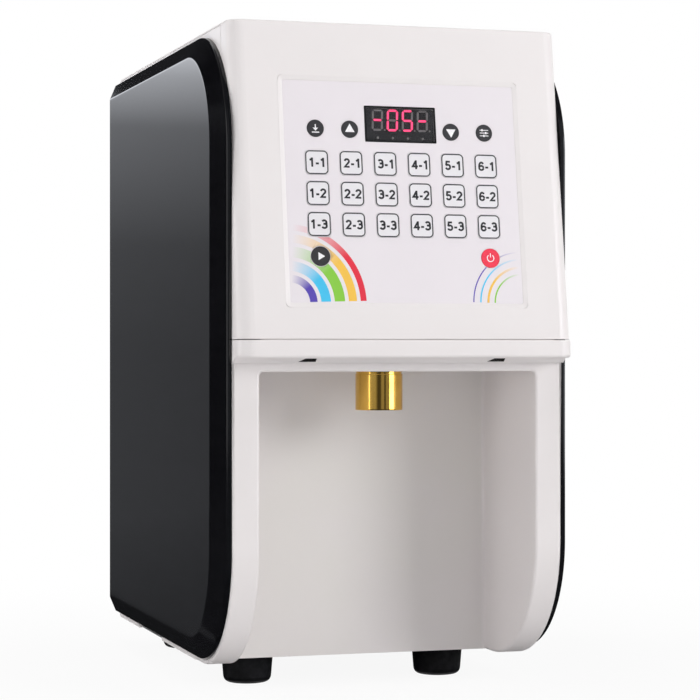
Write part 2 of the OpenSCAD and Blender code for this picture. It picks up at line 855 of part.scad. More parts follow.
// Frame of the mains switch.
module switch_body() {
    skin = 1.4;
    well = 10;
    out = cover_y + cover_t;
    color(black)
    difference() {
        union() {
            block([switch_x - switch_w / 2, out - switch_d, inlet_z - switch_h / 2],
                  [switch_x + switch_w / 2, out + bezel_t, inlet_z + switch_h / 2]);
            block([switch_x - switch_w / 2 - bezel_w, out, inlet_z - switch_h / 2 - bezel_w],
                  [switch_x + switch_w / 2 + bezel_w, out + bezel_t, inlet_z + switch_h / 2 + bezel_w]);
        }
        block([switch_x - switch_w / 2 + skin, out + bezel_t - well, inlet_z - switch_h / 2 + skin],
              [switch_x + switch_w / 2 - skin, out + bezel_t + 1, inlet_z + switch_h / 2 - skin]);
        bar_x(rocker_y, inlet_z, rocker_pin_r + run_gap, switch_x - switch_w / 2 + skin - 1,
              switch_x + switch_w / 2 - skin + 1);
    }
}

rocker_y = cover_y + cover_t + bezel_t - 5.6;
rocker_r = 8.2;
rocker_pin_r = 1.2;

// Rocker of the mains switch: a dished cam on a cross pin, tipped to its off side.
module switch_rocker() {
    skin = 1.4;
    half_w = switch_w / 2 - skin - rocker_gap;
    dish = 22;
    color(key_dark)
    translate([switch_x, rocker_y, inlet_z]) rotate([rocker_angle, 0, 0]) {
        difference() {
            intersection() {
                bar_x(0, 0, rocker_r, -half_w, half_w);
                block([-half_w, -2.6, -rocker_r], [half_w, 5.2, rocker_r]);
            }
            bar_x(dish + 3.4, 0, dish, -half_w - 1, half_w + 1, $fn = 96);
        }
        bar_x(0, 0, rocker_pin_r, -half_w - 0.9, half_w + 0.9);
    }
}

// Lid over the hopper: a plate with a stiffening skirt and its two hinge knuckles.
module top_lid() {
    skirt_t = 2.2;
    skirt_z = rim_z + 1.6;
    skirt_x = hopper_x;
    skirt_front = hopper_front_y + 3;
    skirt_rear = rail_y - 6;
    edge_r = head_edge_r;
    grip_w = 60;
    color(white)
    difference() {
        union() {
            difference() {
                along_y(lid_front_y, shell_rear_y)
                    difference() {
                        union() {
                            translate([-side_x, overall_h - lid_edge_t]) square([2 * side_x, lid_edge_t]);
                            translate([-inner_x + lid_gap, lid_z]) square([2 * (inner_x - lid_gap), lid_t]);
                        }
                        for (x = [-1, 1])
                            translate([x * (side_x - edge_r), overall_h - edge_r])
                                difference() {
                                    translate([(x - 1) / 2 * (edge_r + 1), 0]) square(edge_r + 1);
                                    circle(edge_r);
                                }
                    }
                translate([0, lid_front_y, overall_h])
                    rotate([0, 90, 0]) cylinder(r = 2, h = grip_w, center = true);
            }
            difference() {
                block([-skirt_x, skirt_front, skirt_z], [skirt_x, skirt_rear, lid_z + eps]);
                block([-skirt_x + skirt_t, skirt_front + skirt_t, skirt_z - 1],
                      [skirt_x - skirt_t, skirt_rear - skirt_t, lid_z]);
            }
            for (x = [-hinge_x, hinge_x]) {
                bar_x(hinge_y, hinge_z, hinge_r, x - knuckle_w / 2, x + knuckle_w / 2);
                block([x - knuckle_w / 2, hinge_y - hinge_r, hinge_z],
                      [x + knuckle_w / 2, shell_rear_y, lid_z + eps]);
            }
        }
        bar_x(hinge_y, hinge_z, hinge_pin_r + run_gap, -side_x, side_x);
    }
}

// Rail across the rear of the body with the fixed hinge knuckles.
module hinge_rail() {
    x = inner_x - 0.2;
    side = knuckle_w / 2 + knuckle_gap;
    color(steel)
    difference() {
        union() {
            block([-x, rail_y, hinge_z - hinge_r - rail_h], [x, rail_y + rail_d, hinge_z]);
            for (h = [-hinge_x, hinge_x])
                for (s = [-1, 1]) {
                    x0 = h + s * (side + knuckle_w / 4) - knuckle_w / 4;
                    bar_x(hinge_y, hinge_z, hinge_r, x0, x0 + knuckle_w / 2);
                    block([x0, rail_y + rail_d - eps, hinge_z - hinge_r],
                          [x0 + knuckle_w / 2, hinge_y, hinge_z]);
                }
        }
        bar_x(hinge_y, hinge_z, hinge_pin_r + 0.01, -side_x, side_x);
    }
}

// Hinge pins, one through each set of knuckles.
module hinge_pins() {
    len = 2 * knuckle_w + 2 * knuckle_gap;
    color(steel)
    for (h = [-hinge_x, hinge_x])
        bar_x(hinge_y, hinge_z, hinge_pin_r, h - len / 2, h + len / 2);
}

// Shelf between the powder drive above and the electrics below.
module deck_plate() {
    x = inner_x - 0.3;
    rear = shell_rear_y - 3;
    lug = 10;
    color(steel)
    difference() {
        union() {
            block([-x, deck_front_y, deck_z], [x, rear, deck_top_z]);
            for (s = [-1, 1])
                block([s * (x - base_t / 2) - base_t / 2, base_front_y + lug, deck_z - deck_flange],
                      [s * (x - base_t / 2) + base_t / 2, rear, deck_z + eps]);
        }
        translate([0, bracket_y - 12, deck_z - 1]) cylinder(r = lug, h = deck_t + 2);
    }
}

// Hopper profile: trough, sloping sides and upright walls, drawn in X and Z.
module hopper_profile(out, top) {
    low_x = trough_r + (out > 0 ? slope_wall : 0);
    high_x = hopper_x + out;
    knee_z = auger_z + (high_x - low_x) * hopper_slope;
    polygon([
        [-low_x, auger_z], [low_x, auger_z], [high_x, knee_z], [high_x, top],
        [-high_x, top], [-high_x, knee_z]
    ]);
}

// Powder hopper with its trough, outlet tube, rim and feet.
module hopper() {
    out = hopper_wall;
    foot_t = 6;
    foot_half = trough_r + slope_wall + 8;
    color([0.85, 0.87, 0.88])
    difference() {
        union() {
            along_y(hopper_front_y, hopper_rear_y) hopper_profile(out, rim_z);
            bar_y(0, auger_z, trough_r + slope_wall, hopper_front_y, hopper_rear_y);
            bar_y(0, auger_z, trough_r + out, tube_front_y, hopper_front_y + eps);
            block([-hopper_x - out - rim_w, hopper_front_y - 3, rim_z - rim_t],
                  [hopper_x + out + rim_w, hopper_rear_y + 3, rim_z]);
            translate([0, nozzle_y, stub_z]) cylinder(r = nozzle_bore_r + out, h = auger_z - stub_z);
            for (y = [hopper_front_y + 12, hopper_rear_y - 18])
                block([-foot_half, y, deck_top_z], [foot_half, y + foot_t, auger_z + 6]);
        }
        along_y(hopper_front_y + out, hopper_rear_y - out) hopper_profile(0, rim_z + 1);
        bar_y(0, auger_z, trough_r, tube_front_y + tube_end_t, hopper_rear_y - out);
        translate([0, nozzle_y, stub_z - 1]) cylinder(r = nozzle_bore_r, h = auger_z - stub_z + 1);
        bar_y(0, auger_z, bush_r + 0.02, tube_front_y - 1, hopper_rear_y + 1);
        bar_y(0, agitator_z, bush_r + 0.02, hopper_front_y - 1, hopper_rear_y + 1);
    }
}

// A flanged plain bush; its flange lies inside the hopper.
module bush(x, z, y0, length, flange_y) {
    difference() {
        union() {
            bar_y(x, z, bush_r, y0, y0 + length);
            bar_y(x, z, bush_flange_r, flange_y, flange_y + bush_flange_t);
        }
        bar_y(x, z, shaft_r + run_gap, y0 - 2, y0 + length + 2);
    }
}

// Plain bushes that carry the auger and the agitator at each end.
module shaft_bushes() {
    rear_in = hopper_rear_y - hopper_wall;
    color([0.9, 0.88, 0.8]) {
        bush(0, auger_z, tube_front_y, tube_end_t + 1, tube_front_y + tube_end_t);
        bush(0, auger_z, rear_in - 1, hopper_wall + 3, rear_in - bush_flange_t);
        bush(0, agitator_z, hopper_front_y, hopper_wall + 1, hopper_front_y + hopper_wall);
        bush(0, agitator_z, rear_in - 1, hopper_wall + 3, rear_in - bush_flange_t);
    }
}

// Points of a helical ribbon: four to a ring, at its inner and outer edges.
function flight_ring(a, inner, outer, t) = [
    for (p = [[inner, -t / 2], [outer, -t / 2], [outer, t / 2], [inner, t / 2]])
        [p[0] * cos(a), p[0] * sin(a), flight_pitch * a / 360 + p[1]]
];

// A helical flight along +Z with the given number of ring steps.
module flight(inner, outer, t, steps, step_angle) {
    rings = [for (i = [0 : steps]) each flight_ring(i * step_angle, inner, outer, t)];
    sides = [
        for (i = [0 : steps - 1])
            for (k = [0 : 3])
                let (a = 4 * i + k, b = 4 * i + (k + 1) % 4, c = b + 4, d = a + 4)
                    each [[a, b, c], [a, c, d]]
    ];
    last = 4 * steps;
    caps = [[0, 2, 1], [0, 3, 2], [last, last + 1, last + 2], [last, last + 2, last + 3]];
    polyhedron(rings, concat(sides, caps));
}

// Auger: a helical flight on its shaft, which ends in the gear's seat.
module auger() {
    outer = trough_r - flight_gap;
    flight_y0 = tube_front_y + tube_end_t + bush_flange_t + flight_t;
    flight_y1 = hopper_rear_y - hopper_wall - bush_flange_t - flight_t;
    step_angle = 18;
    steps = floor((flight_y1 - flight_y0) / flight_pitch * 360 / step_angle);
    color(steel) {
        bar_y(0, auger_z, shaft_r, tube_front_y + 0.5, shaft_end_y);
        translate([0, flight_y0, auger_z]) rotate([-90, 0, 0])
            flight(shaft_r - 1, outer, flight_t, steps, step_angle);
    }
}

// Agitator: a shaft with crossing rods that keep the powder loose.
module agitator() {
    rod_r = 2.2;
    rods = 7;
    span = hopper_rear_y - hopper_front_y - 2 * hopper_wall - 40;
    first = hopper_front_y + hopper_wall + 20;
    color(steel) {
        bar_y(0, agitator_z, shaft_r, hopper_front_y + 0.5, shaft_end_y);
        for (i = [0 : rods - 1])
            translate([0, first + i * span / (rods - 1), agitator_z])
                rotate([0, i * 45, 0])
                    cylinder(r = rod_r, h = 2 * agitator_r, center = true);
    }
}

// Involute gear outline, worked out from the module and the tooth count.
function involute(base, r) = tan(acos(base / r)) * 180 / PI - acos(base / r);
function half_tooth(n, base, r) =
    90 / n - (backlash / 4) / (gear_m * n / 2) * 180 / PI
    + tan(pressure_angle) * 180 / PI - pressure_angle - involute(base, r);
function gear_outline(n, phase) =
    let (
        pitch_r = gear_m * n / 2,
        base = pitch_r * cos(pressure_angle),
        tip = pitch_r + gear_m,
        root = pitch_r - 1.25 * gear_m,
        start = max(base, root),
        flank = [for (i = [0 : 4]) start + (tip - start) * i / 4]
    )
    [
        for (k = [0 : n - 1])
            let (mid = phase + 360 * k / n, foot = half_tooth(n, base, start))
                each concat(
                    [root * [cos(mid - foot), sin(mid - foot)]],
                    [for (r = flank) let (a = mid - half_tooth(n, base, r)) r * [cos(a), sin(a)]],
                    [for (i = [4 : -1 : 0])
                        let (r = flank[i], a = mid + half_tooth(n, base, r)) r * [cos(a), sin(a)]],
                    [root * [cos(mid + foot), sin(mid + foot)]]
                )
    ];

// Phase that sets the second gear's gap on the first gear's tooth, along a line at angle.
function mesh_phase(angle, first_n, second_n) =
    angle + 180 - (0.5 - angle * first_n / 360) * 360 / second_n;

// A spur gear with a hub, bored for its shaft.
module spur_gear(x, z, n, phase, bore) {
    hub_r = bore + 4;
    hub_w = 3;
    difference() {
        union() {
            translate([x, 0, z]) along_y(gear_y, gear_y + gear_w) polygon(gear_outline(n, phase));
            bar_y(x, z, hub_r, gear_y - hub_w, gear_y + eps);
        }
        bar_y(x, z, bore, gear_y - hub_w - 1, gear_y + gear_w + 1);
    }
}

module auger_gear() {
    color([0.88, 0.87, 0.82]) spur_gear(0, auger_z, auger_teeth, 0, shaft_r + 0.02);
}

module agitator_gear() {
    color([0.88, 0.87, 0.82])
        spur_gear(0, agitator_z, agitator_teeth, mesh_phase(90, auger_teeth, agitator_teeth), shaft_r + 0.02);
}

motor_shaft_r = 3;

// Motor pinion, solid with its shaft.
module drive_pinion() {
    color(steel) {
        translate([pinion_x, 0, pinion_z])
            along_y(gear_y, gear_y + gear_w)
                polygon(gear_outline(pinion_teeth, mesh_phase(pinion_angle, auger_teeth, pinion_teeth)));
        bar_y(pinion_x, pinion_z, motor_shaft_r, gear_y - 1.5, motor_y + 9);
    }
}

motor_boss_r = 6;

// Gear motor: gearbox, can and terminal cap, with a boss that centres it in the bracket.
module gear_motor() {
    box_len = 22;
    can_r = motor_r - 1;
    cap_len = 4;
    color(steel)
    difference() {
        union() {
            bar_y(pinion_x, pinion_z, motor_r, motor_y, motor_y + box_len);
            bar_y(pinion_x, pinion_z, can_r, motor_y + box_len - eps, motor_y + motor_len - cap_len);
            bar_y(pinion_x, pinion_z, can_r - 3, motor_y + motor_len - cap_len - eps, motor_y + motor_len);
            bar_y(pinion_x, pinion_z, motor_boss_r, bracket_y - 1, motor_y + eps);
        }
        bar_y(pinion_x, pinion_z, motor_shaft_r + run_gap, bracket_y - 2, motor_y + 10);
    }
}

// Angle bracket that stands on the deck and carries the motor.
module motor_bracket() {
    side = motor_r + 5;
    foot_d = 30;
    color(steel)
    difference() {
        union() {
            block([pinion_x - side, bracket_y, deck_top_z],
                  [pinion_x + side, bracket_y + bracket_t, pinion_z + side]);
            block([pinion_x - side, bracket_y, deck_top_z],
                  [pinion_x + side, bracket_y + foot_d, deck_top_z + bracket_t]);
            for (s = [-1, 1])
                along_x(pinion_x + s * (side - bracket_t / 2) - bracket_t / 2,
                        pinion_x + s * (side - bracket_t / 2) + bracket_t / 2)
                    polygon([
                        [bracket_y, deck_top_z], [bracket_y + foot_d, deck_top_z],
                        [bracket_y + foot_d, deck_top_z + bracket_t], [bracket_y + bracket_t, pinion_z]
                    ]);
        }
        bar_y(pinion_x, pinion_z, motor_boss_r + 0.1, bracket_y - 1, motor_y + 1);
    }
}

// Brass outlet nozzle: a polished spigot with a turned groove and a neck through the ceiling.
module nozzle() {
    color(brass)
    translate([0, nozzle_y, 0])
        rotate_extrude($fn = 96)
            polygon([
                [nozzle_bore_r, nozzle_z], [nozzle_r - 0.6, nozzle_z], [nozzle_r, nozzle_z + 0.6],
                [nozzle_r, groove_z], [nozzle_r - groove_depth, groove_z],
                [nozzle_r - groove_depth, groove_z + groove_h], [nozzle_r, groove_z + groove_h],
                [nozzle_r, nozzle_top_z], [neck_r, nozzle_top_z], [neck_r, neck_top_z],
                [nozzle_bore_r, neck_top_z]
            ]);
}

// Ring nut that clamps the nozzle to the ceiling.
module outlet_collar() {
    color(white)
    translate([0, nozzle_y, deck_z])
        difference() {
            cylinder(r = collar_nut_r, h = collar_nut_h, $fn = 8);
            translate([0, 0, -1]) cylinder(r = neck_r + 0.02, h = collar_nut_h + 2);
        }
}

// Soft ring between the nozzle's neck and the hopper's outlet.
module outlet_seal() {
    color([0.8, 0.3, 0.25])
    translate([0, nozzle_y, neck_top_z])
        difference() {
            cylinder(r = nozzle_bore_r + hopper_wall, h = seal_h);
            translate([0, 0, -1]) cylinder(r = nozzle_bore_r, h = seal_h + 2);
        }
}

// Boxed mains supply on the base.
module power_supply() {
    supply_w = 98;
    supply_d = 82;
    supply_h = 38;
    supply_x = -92;
    supply_setback = 100;
    vent_n = 6;
    vent_pitch = 12;
    vent_w = 4;
    vent_x = 16;
    vent_y = 14;
    vent_depth = 1;
    color(steel)
    translate([supply_x, foot_front_y + supply_setback, base_top_z])
        difference() {
            cube([supply_w, supply_d, supply_h]);
            for (i = [0 : vent_n - 1])
                translate([vent_x + i * vent_pitch, vent_y, supply_h - vent_depth])
                    cube([vent_w, supply_d - 2 * vent_y, 2 * vent_depth]);
        }
}

// Control board on four posts, with its larger components.
module control_board() {
    card_w = 96;
    card_d = 88;
    card_x = 10;
    card_setback = 84;
    post_h = 8;
    post_r = 3;
    post_inset = 6;
    top = post_h + board_t - eps;
    coil_w = 30;
    coil_d = 24;
    coil_h = 14;
    relay_w = 26;
    relay_d = 18;
    relay_h = 18;
    row_x = 12;
    row_y = 16;
    row_gap = 12;
    can_r = 6;
    can_h = 18;
    can_pitch = 16;
    can_y = 62;
    color(board_green)
    translate([card_x, foot_front_y + card_setback, base_top_z]) {
        translate([0, 0, post_h]) cube([card_w, card_d, board_t]);
        for (x = [post_inset, card_w - post_inset])
            for (y = [post_inset, card_d - post_inset])
                translate([x, y, 0]) cylinder(r = post_r, h = post_h + eps);
        translate([row_x, row_y, top]) cube([coil_w, coil_d, coil_h]);
        translate([row_x + coil_w + row_gap, row_y, top]) cube([relay_w, relay_d, relay_h]);
        for (i = [1 : 3])
            translate([row_x + i * can_pitch, can_y, top]) cylinder(r = can_r, h = can_h);
    }
}

front_frame();
bay_liner();
head_panel();
side_wall_left();
side_wall_right();
base_plate();
deck_plate();
rear_cover();
top_lid();
hinge_rail();
hinge_pins();
side_panel_left();
side_panel_right();
feet();
housing_screws();
keypad_overlay();
display_window();
led_display();
keypad_board();
control_board();
power_supply();
power_inlet();
switch_body();
switch_rocker();
hopper();
shaft_bushes();
auger();
agitator();
auger_gear();
agitator_gear();
drive_pinion();
gear_motor();
motor_bracket();
nozzle();
outlet_collar();
outlet_seal();
for (c = [1 : 6])
    for (r = [1 : 3])
        dose_key(c, r);
round_key(column_x(1), set_key_s, set_key_r, key_dark);  // save_key
round_key(column_x(2), set_key_s, set_key_r, key_dark);  // up_key
round_key(column_x(5), set_key_s, set_key_r, key_dark);  // down_key
round_key(column_x(6), set_key_s, set_key_r, key_dark);  // setting_key
round_key(column_x(1), low_key_s, low_key_r, key_dark);  // continue_key
round_key(column_x(6), low_key_s, low_key_r, key_red);  // power_key
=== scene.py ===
"""Looks of a countertop powder dispenser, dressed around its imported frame.

Every piece is made in metres in the frame's own axes: the front faces -Y, the floor is z = 0.
"""

import json
import math

import bmesh
import bpy
from mathutils import Matrix, Vector

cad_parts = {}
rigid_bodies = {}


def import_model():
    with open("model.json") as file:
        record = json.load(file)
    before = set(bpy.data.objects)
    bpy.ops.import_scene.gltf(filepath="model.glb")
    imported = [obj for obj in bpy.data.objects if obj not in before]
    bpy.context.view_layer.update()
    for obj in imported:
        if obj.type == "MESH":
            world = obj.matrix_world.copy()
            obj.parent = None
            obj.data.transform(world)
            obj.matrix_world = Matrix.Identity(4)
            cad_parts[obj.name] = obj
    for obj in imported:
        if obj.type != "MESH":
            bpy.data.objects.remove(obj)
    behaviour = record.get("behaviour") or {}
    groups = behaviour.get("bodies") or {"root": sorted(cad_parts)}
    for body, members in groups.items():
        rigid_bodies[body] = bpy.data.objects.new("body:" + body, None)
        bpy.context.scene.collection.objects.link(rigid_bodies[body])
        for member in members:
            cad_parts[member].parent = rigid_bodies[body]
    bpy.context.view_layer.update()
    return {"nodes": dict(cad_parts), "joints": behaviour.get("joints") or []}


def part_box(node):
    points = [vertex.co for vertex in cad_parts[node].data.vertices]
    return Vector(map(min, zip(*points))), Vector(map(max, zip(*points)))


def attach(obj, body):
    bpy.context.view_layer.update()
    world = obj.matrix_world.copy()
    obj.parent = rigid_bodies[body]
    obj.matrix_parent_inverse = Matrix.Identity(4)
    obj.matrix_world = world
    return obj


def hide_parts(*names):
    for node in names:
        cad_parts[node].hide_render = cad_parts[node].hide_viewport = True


bl_info = {
    "name": "Powder Dispenser Looks",
    "version": (1, 0, 0),
    "blender": (4, 5, 0),
    "location": "View3D > Sidebar > Dispenser",
    "description": "Dresses a packed powder dispenser with its finishes, prints and studio",
    "category": "Object",
}

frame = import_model()
NODES = frame["nodes"]
MM = 0.001
HAIR = 0.0001 * MM  # radius that a turned profile keeps at its axis
SENSOR_WIDTH = 36

# Places read from the frame
PANEL_LOW, PANEL_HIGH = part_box("side_panel_right")
NOZZLE_LOW, NOZZLE_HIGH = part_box("nozzle")

DOSE_KEYS = [f"key_{column}_{row}" for column in range(1, 7) for row in range(1, 4)]
ROUND_KEYS = ["save_key", "up_key", "down_key", "setting_key", "continue_key", "power_key"]


# Settings


def colour(name, description, default):
    """A colour setting, written as linear values."""
    return bpy.props.FloatVectorProperty(
        name=name, description=description, subtype="COLOR", size=3, min=0, max=1, default=default
    )


def length(name, description, default):
    """A length setting in metres."""
    return bpy.props.FloatProperty(
        name=name, description=description, default=default, min=0, unit="LENGTH", precision=5
    )


def number(name, description, default):
    """A plain number setting."""
    return bpy.props.FloatProperty(name=name, description=description, default=default)


class DispenserSizes(bpy.types.PropertyGroup):
    """Sizes of the dressed pieces."""

    edge_round: length("Edge rounding", "Rounding of the white mouldings' edges", 1.8 * MM)
    small_round: length("Small rounding", "Rounding of the keys' edges", 0.12 * MM)
    panel_edge: length("Panel edge", "Height of a side panel's upright edge", 3.2 * MM)
    panel_radius: length("Panel radius", "Front corner radius of a side panel", 80 * MM)
    face_radius: length("Face radius", "Front corner radius of a side panel's flat face", 66 * MM)
    front_bevel: length("Front bevel", "Width of a side panel's front bevel", 28.5 * MM)
    rim_bevel: length("Rim bevel", "Width of a side panel's top and bottom bevels", 11.4 * MM)
    panel_round: length("Panel rounding", "Rounding of a side panel's ridges", 1.1 * MM)
    print_lift: length("Print lift", "Thickness of a printed mark above its surface", 0.03 * MM)
    outline_width: length("Outline width", "Line width of a dose key's printed outline", 0.75 * MM)
    outline_inset: length("Outline inset", "Gap from a dose key's edge to its outline", 0.16 * MM)
    outline_radius: length("Outline radius", "Corner radius of a dose key's outline", 2.6 * MM)
    numeral_height: length("Numeral height", "Height of the printed numerals", 6.1 * MM)


class DispenserColours(bpy.types.PropertyGroup):
    """Colours of the finishes."""

    shell: colour("Shell", "Moulded white body", (0.84, 0.80, 0.80))
    panel: colour("Side panel", "Gloss black side panels", (0.004, 0.004, 0.005))
    film: colour("Film", "Printed keypad film", (0.828, 0.78, 0.816))
    key: colour("Dose key", "White dose keys", (0.83, 0.81, 0.84))
    ink: colour("Ink", "Dark printed outlines and numerals", (0.022, 0.022, 0.026))
    dark_key: colour("Dark key", "Round dark keys", (0.035, 0.034, 0.037))
    red_key: colour("Red key", "Power key", (0.80, 0.035, 0.075))
    lit: colour("Lit segment", "Glowing display segment", (1.0, 0.05, 0.16))
    unlit: colour("Unlit segment", "Display segment at rest", (0.24, 0.22, 0.21))
    brass: colour("Brass", "Outlet nozzle", (0.88, 0.545, 0.115))
    rubber: colour("Rubber", "Feet", (0.005, 0.005, 0.006))
    steel: colour("Steel", "Screws, shafts and brackets", (0.52, 0.53, 0.55))
    hopper: colour("Hopper", "Milky hopper plastic", (0.78, 0.80, 0.81))
    board: colour("Board", "Circuit boards", (0.02, 0.12, 0.05))
    seal: colour("Seal", "Silicone seal ring", (0.55, 0.09, 0.06))


class StageSettings(bpy.types.PropertyGroup):
    """Camera, floor and lamps."""

    camera_place: bpy.props.FloatVectorProperty(
        name="Camera place",
        description="Where the camera stands",
        subtype="TRANSLATION",
        unit="LENGTH",
        size=3,
        default=(-0.46961, -1.59336, 0.23424),
    )
    camera_turn: bpy.props.FloatProperty(
        name="Camera turn",
        description="Turn of the level camera to the right",
        subtype="ANGLE",
        default=math.radians(17.027),
    )
    lens_length: number("Lens", "Focal length in millimetres on a 36 mm sensor", 117.18)
    frame_shift: number(
        "Vertical shift", "Lift of the picture's middle, as a share of its width", -0.0038
    )
    key_power: number("Key lamp", "Power of the large lamp at the front right, in watts", 37.0)
    fill_power: number("Fill lamp", "Power of the low lamp in front, in watts", 1.0)
    top_power: number("Top lamp", "Power of the lamp overhead, in watts", 8.0)
    side_power: number("Side lamp", "Power of the lamp far on the left, in watts", 6.0)
    rim_power: number("Rim lamp", "Power of the lamp behind on the left, in watts", 18.0)
    sky: number("Sky", "Strength of the even light from all round", 0.42)
    floor: colour("Floor", "Pale studio floor", (0.86, 0.86, 0.86))


def sizes():
    """The size settings."""
    return bpy.context.scene.dispenser_sizes


def colours():
    """The colour settings."""
    return bpy.context.scene.dispenser_colours


# Finishes


class Nodes:
    """Makes and links the nodes of one tree."""

    def __init__(self, tree):
        self.tree = tree

    def node(self, kind, feeds=None, **settings):
        """A new node of that kind with these settings, and its named inputs fed."""
        made = self.tree.nodes.new(kind)
        for key, value in settings.items():
            setattr(made, key, value)
        for name, value in (feeds or {}).items():
            self.put(made.inputs[name], value)
        return made

    def put(self, socket, value):
        """Sets an input to a constant, or links it to another node's output."""
        if isinstance(value, bpy.types.NodeSocket):
            self.tree.links.new(value, socket)
        else:
            socket.default_value = value

    def spread(self, pattern, low, high, first=0.3, last=0.7, **settings):
        """Maps a pattern's usual span onto low to high."""
        feeds = {"Value": pattern, "From Min": first, "From Max": last}
        feeds.update({"To Min": low, "To Max": high})
        return self.node("ShaderNodeMapRange", feeds, **settings).outputs["Result"]

    def object_place(self):
        """The place on the object, in metres."""
        return self.node("ShaderNodeTexCoord").outputs["Object"]


class Finish(Nodes):
    """One procedural finish, read from Object coordinates in metres."""

    def __init__(self, name):
        self.material = bpy.data.materials.new(name)
        self.material.use_nodes = True
        super().__init__(self.material.node_tree)
        self.shader = self.tree.nodes["Principled BSDF"]
        self.place = self.object_place()

    def noise(self, scale, detail, stretch=None):
        """A cloud pattern; stretch scales it along each axis."""
        vector = self.place
        if stretch:
            mapping = self.node("ShaderNodeMapping", {"Vector": vector, "Scale": stretch})
            vector = mapping.outputs["Vector"]
        feeds = {"Vector": vector, "Scale": scale, "Detail": detail}
        return self.node("ShaderNodeTexNoise", feeds).outputs["Fac"]

    def tint(self, pattern, first, second):
        """Mixes two colours by a pattern from 0 to 1."""
        feeds = {0: pattern, 6: (*first, 1), 7: (*second, 1)}
        return self.node("ShaderNodeMix", feeds, data_type="RGBA").outputs[2]

    def relief(self, pattern, depth, strength, under=None):
        """A bump of that depth in millimetres, on top of another bump if one is given."""
        feeds = {"Height": pattern, "Distance": depth * MM, "Strength": strength}
        if under:
            feeds["Normal"] = under
        return self.node("ShaderNodeBump", feeds).outputs["Normal"]

    def shade(self, **inputs):
        """Sets the shader's inputs, named with underscores for spaces, and gives the material."""
        for name, value in inputs.items():
            self.put(self.shader.inputs[name.replace("_", " ")], value)
        return self.material


def scaled(tone, share):
    """A colour times a share."""
    return tuple(min(1.0, channel * share) for channel in tone)


def skin(name, tones, cloud, gloss, grain, span=(0.3, 0.7), **more):
    """A finish with clouds of two shades, an uneven gloss and a fine relief.

    Each of the three patterns starts with its noise's scale and detail. The gloss adds its lowest
    and highest roughness, and the grain its depth in millimetres and its strength.
    """
    finish = Finish(name)
    clouds = finish.spread(finish.noise(*cloud), 0, 1, *span)
    return finish.shade(
        Base_Color=finish.tint(clouds, *tones),
        Roughness=finish.spread(finish.noise(*gloss[:2]), *gloss[2:]),
        Normal=finish.relief(finish.noise(*grain[:2]), *grain[2:]),
        **more,
    )


def moulded_white():
    """Injection-moulded gloss plastic: faint flow clouds and a fine orange-peel skin."""
    tone = colours().shell
    return skin(
        "moulded_white",
        (scaled(tone, 0.985), tone),
        cloud=(11, 2),
        gloss=(160, 4, 0.29, 0.37),
        grain=(300, 2, 0.012, 0.2),
        IOR=1.5,
    )


def liner_white():
    """Satin white sheet of the cup bay, a little warmer than the mouldings."""
    tone = scaled(colours().shell, 0.97)
    return skin(
        "liner_white",
        ((tone[0] * 0.985, tone[1], tone[2] * 0.965), tone),
        cloud=(9, 3),
        gloss=(220, 4, 0.38, 0.5),
        grain=(260, 2, 0.012, 0.2),
    )


def gloss_black():
    """Gloss black acrylic: a slow waviness in the reflections and faint rub marks."""
    tone = colours().panel
    finish = Finish("gloss_black")
    rubs = finish.noise(70, 6, (1.0, 0.25, 3.0))
    wave = finish.relief(finish.noise(7, 1), 0.5, 0.03)
    return finish.shade(
        Base_Color=finish.tint(finish.spread(rubs, 0, 1), tone, scaled(tone, 1.5)),
        Roughness=finish.spread(rubs, 0.075, 0.095),
        Normal=finish.relief(finish.noise(2400, 2), 0.002, 0.2, wave),
        IOR=1.49,
    )


def polished_brass():
    """Polished turned brass: tool rings round the axis and a trace of tarnish."""
    tone = colours().brass
    finish = Finish("polished_brass")
    rings = finish.noise(1, 2, (40, 40, 5200))
    tarnish = finish.spread(finish.noise(95, 5), 0, 1, 0.35, 0.75)
    return finish.shade(
        Base_Color=finish.tint(tarnish, tone, (tone[0] * 0.93, tone[1] * 0.88, tone[2] * 0.8)),
        Metallic=1.0,
        Roughness=finish.spread(rings, 0.08, 0.13),
        Normal=finish.relief(rings, 0.002, 0.15),
    )


def foot_rubber():
    """Matt black rubber with dusty, worn patches."""
    tone = colours().rubber
    return skin(
        "foot_rubber",
        (tone, scaled(tone, 2.6)),
        cloud=(130, 6),
        gloss=(300, 4, 0.6, 0.8),
        grain=(1300, 4, 0.05, 0.5),
        span=(0.45, 0.75),
        Specular_IOR_Level=0.3,
    )


def printed_film():
    """Polyester film, printed pale, with its fine anti-glare grain."""
    tone = colours().film
    return skin(
        "printed_film",
        (scaled(tone, 0.985), tone),
        cloud=(24, 3),
        gloss=(500, 3, 0.3, 0.4),
        grain=(6000, 2, 0.004, 0.4),
    )


def key_film():
    """Clear-coated white pad of a dose key."""
    tone = colours().key
    return skin(
        "key_film",
        (scaled(tone, 0.98), tone),
        cloud=(90, 4),
        gloss=(240, 4, 0.29, 0.36),
        grain=(5000, 2, 0.003, 0.4),
        Coat_Weight=0.2,
    )


def inked(name, tone, gloss=0.4):
    """A printed or solid-coloured film with a slightly uneven lay of ink."""
    return skin(
        name,
        (tone, scaled(tone, 1.22)),
        cloud=(700, 4),
        gloss=(900, 3, gloss - 0.06, gloss + 0.08),
        grain=(5000, 2, 0.003, 0.4),
    )


def ribbon_ink():
    """Coloured ribbons, whose colour is carried by the mesh."""
    finish = Finish("ribbon_ink")
    carried = finish.node("ShaderNodeVertexColor", layer_name="ribbon")
    return finish.shade(
        Base_Color=carried.outputs["Color"],
        Roughness=finish.spread(finish.noise(600, 3), 0.3, 0.4),
        Normal=finish.relief(finish.noise(6000, 2), 0.004, 0.4),
    )


